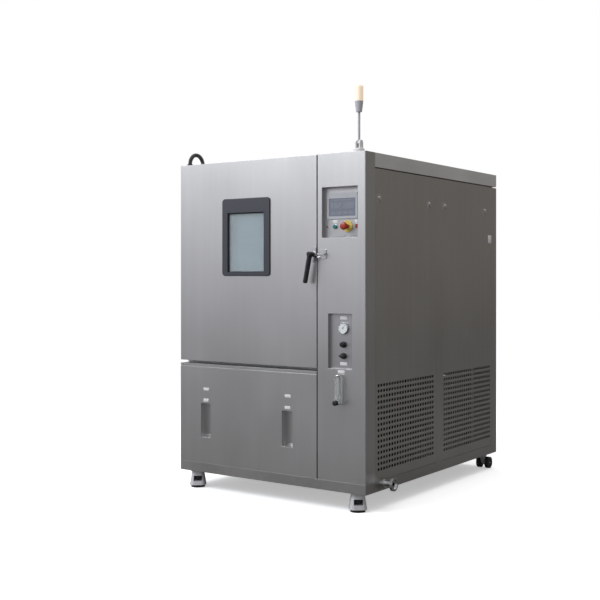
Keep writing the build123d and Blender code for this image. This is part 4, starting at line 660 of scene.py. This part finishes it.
# Operator screen: a light grey bezel, flush in the upper tray, round a blue-grey panel
# that is glossy and shows a few pale fields without words.
wear(plain_surface("bezel grey", (0.42, 0.43, 0.45), 0.45, speck=0.04), "screen_bezel")
display, display_tree, display_shader = new_material("display")
display_place = display_tree.nodes.new("ShaderNodeTexCoord")
display_glow = noise(display_tree, display_place.outputs["Object"], (9, 9, 14), 2)
display_tree.links.new(two_tone(display_tree, display_glow, (0.155, 0.168, 0.212),
                                (0.19, 0.205, 0.255)), display_shader.inputs["Base Color"])
display_shader.inputs["Roughness"].default_value = 0.3
wear(display, "touch_screen")
field_material = plain_surface("display field", (0.20, 0.217, 0.265), 0.3, speck=0.02)
screen_low, screen_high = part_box("touch_screen")
screen_width = screen_high.x - screen_low.x
screen_height = screen_high.z - screen_low.z
field_rise = 0.0004
field_parts = []
for left_share, right_share, low_share, high_share in (
        (0.05, 0.95, 0.86, 0.94), (0.05, 0.46, 0.42, 0.78), (0.54, 0.95, 0.42, 0.78),
        (0.05, 0.24, 0.08, 0.26), (0.29, 0.48, 0.08, 0.26), (0.53, 0.72, 0.08, 0.26),
        (0.77, 0.95, 0.08, 0.26)):
    field_parts.append(slab(
        (screen_low.x + left_share * screen_width, screen_low.y - field_rise,
         screen_low.z + low_share * screen_height),
        (screen_low.x + right_share * screen_width, screen_low.y + field_rise,
         screen_low.z + high_share * screen_height), field_rise / 2, 1))
make_piece("display_fields", joined(*field_parts), field_material, "cabinet")

# Push buttons under the screen: a chromed ring holds each lit cap, a blank white legend
# plate stands over it, and the stop button is a red mushroom on a yellow disc.
chrome = plain_surface("bright chrome", (0.62, 0.62, 0.63), 0.14, metallic=1, speck=0.05)
legend_white = plain_surface("legend white", (0.72, 0.72, 0.73), 0.4, speck=0.05)
lit_green = plain_surface("lit green", (0.015, 0.15, 0.16), 0.25)
lit_red = plain_surface("lit red", (0.25, 0.035, 0.03), 0.25)
stop_red = plain_surface("stop red", (0.36, 0.035, 0.012), 0.3)
stop_yellow = plain_surface("stop yellow", (0.62, 0.48, 0.10), 0.4)
lamp_red = plain_surface("small lamp red", (0.22, 0.10, 0.085), 0.3)


def middle_of(name):
    """Middle of a CAD node's box."""
    low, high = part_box(name)
    return (low + high) / 2


collar_low, collar_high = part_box("button_collars")
collar_y = collar_high.y
collar_top_y = collar_low.y
for name, material in (("green_button", lit_green), ("red_button", lit_red)):
    button_low, button_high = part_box(name)
    middle = middle_of(name)
    radius = (button_high.x - button_low.x) / 2
    tail = button_high.y - collar_top_y
    rise = collar_top_y - button_low.y
    cap = turned([(0, radius), (tail, radius), (tail + rise * 0.7, radius),
                  (tail + rise * 0.9, radius * 0.93), (tail + rise, radius * 0.8),
                  (tail + rise * 0.93, radius * 0.45), (tail + rise * 0.9, 0.0005)],
                 (middle.x, button_high.y, middle.z))
    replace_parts(smooth_piece(name + "_cap", cap, material, name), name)
stop_low, stop_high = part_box("stop_button")
stop_middle = middle_of("stop_button")
stop_radius = (stop_high.x - stop_low.x) / 2
stop_length = stop_high.y - stop_low.y
head = 0.018
stem_length = 0.023
stem_radius = 0.012
neck_radius = 0.013
stop = turned([(0, stem_radius), (stem_length, stem_radius),
               (stem_length + 0.0005, neck_radius), (stop_length - head, neck_radius),
               (stop_length - head, stop_radius * 0.94),
               (stop_length - head * 0.85, stop_radius),
               (stop_length - head * 0.5, stop_radius),
               (stop_length - head * 0.22, stop_radius * 0.9),
               (stop_length - head * 0.06, stop_radius * 0.66),
               (stop_length, stop_radius * 0.3), (stop_length, 0.0005)],
              (stop_middle.x, stop_high.y, stop_middle.z))
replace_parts(smooth_piece("stop_mushroom", stop, stop_red, "stop_button"),
            "stop_button")
collar_rise = collar_y - collar_top_y
collar_slope = 0.0016
collar_bore = 0.0121
ring_radius = 0.015
disc_radius = 0.033
for name, x, outer, material in (
        ("green_ring", middle_of("green_button").x, ring_radius, chrome),
        ("red_ring", middle_of("red_button").x, ring_radius, chrome),
        ("stop_disc", stop_middle.x, disc_radius, stop_yellow)):
    ring_profile = [(0, collar_bore), (0, outer), (collar_rise * 0.6, outer),
                    (collar_rise, outer - collar_slope), (collar_rise, collar_bore),
                    (0, collar_bore)]
    ring_mesh = turned(ring_profile, (x, collar_y, stop_middle.z))
    bmesh.ops.remove_doubles(ring_mesh, verts=ring_mesh.verts, dist=1e-6)
    ring_object = smooth_piece(name, ring_mesh, material, "cabinet")
    if name == "stop_disc":
        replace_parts(ring_object, "button_collars")
small_radius = 0.006
small_dome = turned([(0, small_radius), (0.001, small_radius), (0.003, small_radius * 0.8),
                     (0.0038, small_radius * 0.5), (0.004, 0.0005)],
                    (collar_low.x + small_radius, collar_y, stop_middle.z))
smooth_piece("small_lamp", small_dome, lamp_red, "cabinet")


def plate(name, centre_x, centre_z, width, height, face_y, body, material=legend_white,
          rise=0.0012):
    """Blank plate with rounded corners on a face that looks to the front."""
    mesh = slab((centre_x - width / 2, face_y - rise, centre_z - height / 2),
                (centre_x + width / 2, face_y, centre_z + height / 2), rise * 0.45)
    return smooth_piece(name, mesh, material, body)


legend_above_button = 0.027
for name in ("green_button", "red_button"):
    middle = middle_of(name)
    plate(name + "_legend", middle.x, middle.z + legend_above_button, width=0.032,
          height=0.016, face_y=collar_y, body="cabinet")
band_grey = plain_surface("label grey", (0.36, 0.37, 0.38), 0.45)
tray_low, tray_high = column_low.x + 0.030, column_high.x - 0.048
label_below_buttons = 0.052
for number, (x_share, width) in enumerate(((0.36, 0.105), (0.80, 0.040))):
    plate(f"button_label_{number}", tray_low + x_share * (tray_high - tray_low),
          stop_middle.z - label_below_buttons, width=width, height=0.011, face_y=collar_y,
          body="cabinet", material=band_grey)

# Pressure gauge: a chromed case with a rolled rim, a white dial with a scale of plain
# marks, and a black needle.
gauge_low, gauge_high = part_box("pressure_gauge")
gauge = middle_of("pressure_gauge")
gauge_radius = (gauge_high.x - gauge_low.x) / 2
gauge_depth = gauge_high.y - gauge_low.y
case_mesh = turned([(0, gauge_radius * 0.9), (gauge_depth * 0.2, gauge_radius * 0.92),
                    (gauge_depth * 0.35, gauge_radius), (gauge_depth * 0.8, gauge_radius),
                    (gauge_depth, gauge_radius * 0.95), (gauge_depth, gauge_radius * 0.9),
                    (gauge_depth * 0.7, gauge_radius * 0.87),
                    (gauge_depth * 0.7, 0.0005)], (gauge.x, gauge_high.y, gauge.z))
gauge_case = smooth_piece("gauge_case", case_mesh, polished, "cabinet")
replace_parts(gauge_case, "pressure_gauge")
dial_white = plain_surface("dial white", (0.78, 0.79, 0.80), 0.4, speck=0.02)
dial_y = gauge_high.y - gauge_depth * 0.7
dial_mesh = turned([(0, gauge_radius * 0.865), (0.0006, gauge_radius * 0.86),
                    (0.0008, 0.0005)], (gauge.x, dial_y, gauge.z))
smooth_piece("gauge_dial", dial_mesh, dial_white, "cabinet")
print_black = plain_surface("print black", (0.02, 0.02, 0.022), 0.5)
mark_parts = []
mark_count = 25
for mark in range(mark_count):
    angle = radians(225 - 270 * mark / (mark_count - 1))
    long_mark = mark % 4 == 0
    outer = gauge_radius * 0.76
    inner = outer - (0.0050 if long_mark else 0.0028)
    half = 0.0006 if long_mark else 0.0003
    side = Vector((-sin(angle), 0, cos(angle))) * half
    out = Vector((cos(angle), 0, sin(angle)))
    base = Vector((gauge.x, dial_y - 0.0010, gauge.z))
    mark_mesh = bmesh.new()
    corners = [base + out * inner - side, base + out * outer - side,
               base + out * outer + side, base + out * inner + side]
    face = mark_mesh.faces.new([mark_mesh.verts.new(corner) for corner in corners])
    lifted = bmesh.ops.extrude_face_region(mark_mesh, geom=[face])
    for vert in (v for v in lifted["geom"] if isinstance(v, bmesh.types.BMVert)):
        vert.co.y += 0.0003
    bmesh.ops.recalc_face_normals(mark_mesh, faces=mark_mesh.faces)
    mark_parts.append(mark_mesh)
needle_angle = radians(50)
needle_out = Vector((cos(needle_angle), 0, sin(needle_angle)))
needle_side = Vector((-sin(needle_angle), 0, cos(needle_angle)))
needle_base = Vector((gauge.x, dial_y - 0.0022, gauge.z))
needle_tail = 0.007
needle_half = 0.0012
needle = bmesh.new()
needle_face = needle.faces.new([needle.verts.new(place) for place in (
    needle_base - needle_out * needle_tail + needle_side * needle_half,
    needle_base - needle_out * needle_tail - needle_side * needle_half,
    needle_base + needle_out * gauge_radius * 0.70)])
lifted = bmesh.ops.extrude_face_region(needle, geom=[needle_face])
for vert in (v for v in lifted["geom"] if isinstance(v, bmesh.types.BMVert)):
    vert.co.y += 0.0006
bmesh.ops.recalc_face_normals(needle, faces=needle.faces)
pivot = turned([(0, 0.0028), (0.002, 0.0028), (0.0026, 0.002), (0.0026, 0.0003)],
               (gauge.x, dial_y - 0.0006, gauge.z), segments=24)
make_piece("gauge_scale", joined(*mark_parts, needle, pivot), print_black, "cabinet")

# Knobs under the gauge: black moulded caps with finger grooves. The lower one carries a
# raised bar across its face.
black_moulding = plain_surface("black moulding", (0.012, 0.012, 0.013), 0.38, speck=0.15)
knob_stem = 0.0143
knob_stem_radius = 0.004
bar_half = 0.0045
boss_radius = 0.007
for name in ("regulator_knob", "selector_knob"):
    knob_low, knob_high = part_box(name)
    knob = middle_of(name)
    knob_radius = (knob_high.x - knob_low.x) / 2
    height = knob_high.y - knob_stem - knob_low.y
    grip_share = 1 if name == "regulator_knob" else 0.86
    knob_parts = [turned([
        (0, knob_stem_radius), (knob_stem, knob_stem_radius),
        (knob_stem, knob_radius * 0.92), (knob_stem + 0.001, knob_radius),
        (knob_stem + height * 0.28, knob_radius),
        (knob_stem + height * 0.34, knob_radius * 0.86),
        (knob_stem + height * 0.5, knob_radius * 0.84),
        (knob_stem + height * 0.8, knob_radius * 0.8 * grip_share),
        (knob_stem + height * 0.9, knob_radius * 0.72 * grip_share),
        (knob_stem + height * 0.93, 0.0005)],
        (knob.x, knob_high.y, knob.z), segments=96, wave=12, depth=0.0014, waved=(5, 6, 7))]
    if name == "selector_knob":
        knob_parts.append(slab((knob.x - knob_radius * 0.98, knob_low.y, knob.z - bar_half),
                               (knob.x + knob_radius * 0.98, knob_low.y + height * 0.6,
                                knob.z + bar_half), 0.002))
    else:
        knob_parts.append(turned([(0, boss_radius), (height * 0.06, boss_radius),
                                  (height * 0.07, 0.0005)],
                                 (knob.x, knob_low.y + height * 0.07, knob.z), segments=32))
    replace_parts(smooth_piece(name + "_cap", joined(*knob_parts), black_moulding, name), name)
label_above_gauge = 0.055
label_below_selector = 0.044
plate("gauge_label", gauge.x, gauge.z + label_above_gauge, width=0.046, height=0.019,
      face_y=gauge_high.y, body="cabinet")
plate("selector_label", gauge.x, middle_of("selector_knob").z - label_below_selector,
      width=0.046, height=0.018, face_y=gauge_high.y, body="cabinet")

# Flow meter: a clear block with a bored tube, a steel float and black scale marks. A bright
# nut closes its top, and a black needle valve stands at its foot.
acrylic, acrylic_tree, acrylic_shader = new_material("clear acrylic")
acrylic_shader.inputs["Transmission Weight"].default_value = 0.75
acrylic_shader.inputs["IOR"].default_value = 1.3
acrylic_haze = noise(acrylic_tree,
                     acrylic_tree.nodes.new("ShaderNodeTexCoord").outputs["Object"],
                     (60, 60, 6), 3)
acrylic_tree.links.new(two_tone(acrylic_tree, acrylic_haze, (0.66, 0.68, 0.66),
                                (0.82, 0.84, 0.83)), acrylic_shader.inputs["Base Color"])
acrylic_tree.links.new(calculate(acrylic_tree, "MULTIPLY", acrylic_haze, 0.25),
                       acrylic_shader.inputs["Roughness"])
wear(acrylic, "flow_meter")
wear(polished, "flow_float")
meter_low, meter_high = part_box("flow_meter")
meter = middle_of("flow_meter")
fitting_height = 0.013
meter_top = meter_high.z - fitting_height
nut_radius = 0.0125
nut_height = 0.0125
nut_from_face = 0.012
nut_mesh = turned([(0, nut_radius), (0.009, nut_radius), (0.012, nut_radius * 0.8),
                   (nut_height, 0.0005)],
                  (meter.x, meter_low.y + nut_from_face, meter_top), "Z", segments=6)
make_piece("flow_nut", nut_mesh, polished, "cabinet")
strip_margin = 0.0012
strip_depth = 0.010
back_strip = slab((meter_low.x - strip_margin, front_y - strip_depth, meter_low.z + 0.004),
                  (meter_high.x + strip_margin, front_y, meter_top - 0.002), 0.001)
smooth_piece("flow_backing", back_strip, legend_white, "cabinet")
first_mark_rise = 0.032
mark_pitch = 0.0095
mark_inset = 0.002
mark_half = 0.0004
scale_marks = []
for mark in range(11):
    mark_z = meter_low.z + first_mark_rise + mark * mark_pitch
    reach = 0.009 if mark % 5 == 0 else 0.006
    scale_marks.append(slab(
        (meter_low.x + mark_inset, meter_low.y - 0.0003, mark_z - mark_half),
        (meter_low.x + mark_inset + reach, meter_low.y + 0.0001, mark_z + mark_half),
        0.00005, 1))
make_piece("flow_scale", joined(*scale_marks), print_black, "cabinet")
valve_low, valve_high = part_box("flow_knob")
valve = middle_of("flow_knob")
valve_radius = (valve_high.x - valve_low.x) / 2
valve_length = valve_high.y - valve_low.y
valve_stem_radius = 0.003
grip = 0.026
valve_mesh = turned([(0, valve_stem_radius), (valve_length - grip, valve_stem_radius),
                     (valve_length - grip, valve_radius * 0.9),
                     (valve_length - grip + 0.001, valve_radius),
                     (valve_length - 0.004, valve_radius),
                     (valve_length - 0.001, valve_radius * 0.86),
                     (valve_length, valve_radius * 0.6), (valve_length, 0.0005)],
                    (valve.x, valve_high.y, valve.z), segments=96, wave=18, depth=0.0009,
                    waved=(3, 4))
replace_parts(smooth_piece("flow_valve", valve_mesh, black_moulding, "flow_knob"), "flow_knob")
label_above_meter = 0.014
plate("flow_label", meter.x + 0.006, meter_high.z + label_above_meter, width=0.044,
      height=0.018, face_y=front_y, body="cabinet")

# Latch: a chromed lever with a black moulded grip turns on a plate on the door, and its
# tongue goes behind the finger of the keeper on the column.
satin_steel = brushed_sheet("satin steel", (0.50, 0.50, 0.505), (0.60, 0.60, 0.605), 0.3,
                            streaks=0.2, wipes=0.2, fold=0.001)
wear(satin_steel, "handle_plate", "latch_keeper", "cabinet_hinges", "door_hinges")
wear(chrome, "lever_hub")
wear(black_moulding, "lever_grip")

# Lower panel: two pocket handles are folded into it. Over each stand a blank label and,
# lower down, a small blank plate for its mark.
panel_low, panel_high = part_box("lower_panel")
panel_middle = (panel_low.x + panel_high.x) / 2
pocket_offset = 0.301
pocket_label_z = 0.605
pocket_mark_z = 0.539
for side, offset in (("left", -pocket_offset), ("right", pocket_offset)):
    plate(f"pocket_label_{side}", panel_middle + offset + 0.004, pocket_label_z,
          width=0.042, height=0.017, face_y=panel_low.y, body="lower_panel")
    plate(f"pocket_mark_{side}", panel_middle + offset + 0.002, pocket_mark_z,
          width=0.040, height=0.018, face_y=panel_low.y, body="lower_panel")

# Right rear post: a small plate is stuck to its outer face at chest height. The real one
# carries a mark, and this one is blank.
post_plate_from_front = 1.540
post_plate_width = 0.050
post_plate_low_z, post_plate_high_z = 1.497, 1.550
post_plate_rise = 0.0015
post_plate = slab((right_x, front_y + post_plate_from_front, post_plate_low_z),
                  (right_x + post_plate_rise,
                   front_y + post_plate_from_front + post_plate_width, post_plate_high_z),
                  0.0006)
smooth_piece("post_label", post_plate, legend_white, "cabinet")

# Signal lamp: a white foot, a grey mast that folds at a bolt, and a warm ribbed lens.
lamp_white = plain_surface("lamp white", (0.66, 0.66, 0.65), 0.4, speck=0.03)
wear(lamp_white, "signal_base")
wear(plain_surface("mast grey", (0.50, 0.50, 0.53), 0.35, speck=0.04), "signal_pole")
amber, amber_tree, amber_shader = new_material("amber lens")
amber_fleck = noise(amber_tree, amber_tree.nodes.new("ShaderNodeTexCoord").outputs["Object"],
                    (30, 30, 8), 2)
amber_tree.links.new(two_tone(amber_tree, amber_fleck, (0.84, 0.66, 0.46),
                              (0.92, 0.80, 0.64)), amber_shader.inputs["Base Color"])
amber_shader.inputs["Roughness"].default_value = 0.2
amber_shader.inputs["Emission Color"].default_value = (1, 0.80, 0.62, 1)
amber_shader.inputs["Emission Strength"].default_value = 0.35
lens_low, lens_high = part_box("signal_lens")
lens = middle_of("signal_lens")
lens_radius = (lens_high.x - lens_low.x) / 2
lens_height = lens_high.z - lens_low.z
lens_profile = [(0, lens_radius * 0.96), (0.003, lens_radius)]
ring_count = 9
first_ring_z = 0.004
plain_top = 0.010
ring_step = (lens_height - first_ring_z - plain_top) / ring_count
for ring in range(ring_count):
    ring_z = first_ring_z + ring * ring_step
    lens_profile += [(ring_z, lens_radius * 0.965), (ring_z + ring_step * 0.5, lens_radius)]
lens_profile += [(lens_height - 0.008, lens_radius * 0.97),
                 (lens_height - 0.003, lens_radius * 0.9),
                 (lens_height - 0.0006, lens_radius * 0.66), (lens_height, 0.0005)]
lens_mesh = turned(lens_profile, (lens.x, lens.y, lens_low.z), "Z")
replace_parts(smooth_piece("signal_glass", lens_mesh, amber, "mast"),
            "signal_lens")

# Conduit: black ribbed hose that loops over the gap between a gland on the door and one on
# the roof.
hose_low, hose_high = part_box("conduit_loop")
hose_radius = 0.012
hose_x = (hose_low.x + hose_high.x) / 2
bend_radius = 0.060
hose_start = Vector((hose_x, (hose_low.y + hose_high.y) / 2, hose_low.z))
rib_count = 38
hose = bmesh.new()
hose_rings = []
hose_sides = 20
for step in range(rib_count * 4 + 1):
    angle = pi * step / (rib_count * 4)
    radius = hose_radius * (1 if step % 4 in (1, 2) else 0.86)
    outward = Vector((0, -cos(angle), sin(angle)))
    centre = hose_start + bend_radius * outward
    hose_rings.append([hose.verts.new(centre + radius * (
        cos(2 * pi * k / hose_sides) * outward
        + sin(2 * pi * k / hose_sides) * Vector((1, 0, 0)))) for k in range(hose_sides)])
skin(hose, hose_rings)
hose_data = bpy.data.meshes.new("ribbed_conduit")
hose.to_mesh(hose_data)
hose.free()
hose_data.materials.append(black_moulding)
hose_data.polygons.foreach_set("use_smooth", [True] * len(hose_data.polygons))
conduit = bpy.data.objects.new("ribbed_conduit", hose_data)
bpy.context.scene.collection.objects.link(conduit)
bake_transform(conduit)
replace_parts(conduit, "conduit_loop")
wear(black_moulding, "door_gland")
wear(chrome, "service_fittings")

# Front feet: a white cast castor body with a window for the dark red thumbwheel that
# jacks the black rubber foot. The rear pair are twin wheels in a swivelling fork.
cast_white = plain_surface("cast white", (0.60, 0.60, 0.61), 0.4, speck=0.06, edge=0.002)
wear(cast_white, "front_castors", "rear_left_fork", "rear_right_fork")
rubber = plain_surface("foot rubber", (0.020, 0.020, 0.021), 0.65, speck=0.2)
wear(rubber, "levelling_feet", "rear_left_wheels", "rear_right_wheels")
wear(plain_surface("zinc plate", (0.40, 0.41, 0.42), 0.4, metallic=1, speck=0.15),
     "rear_castor_plates")
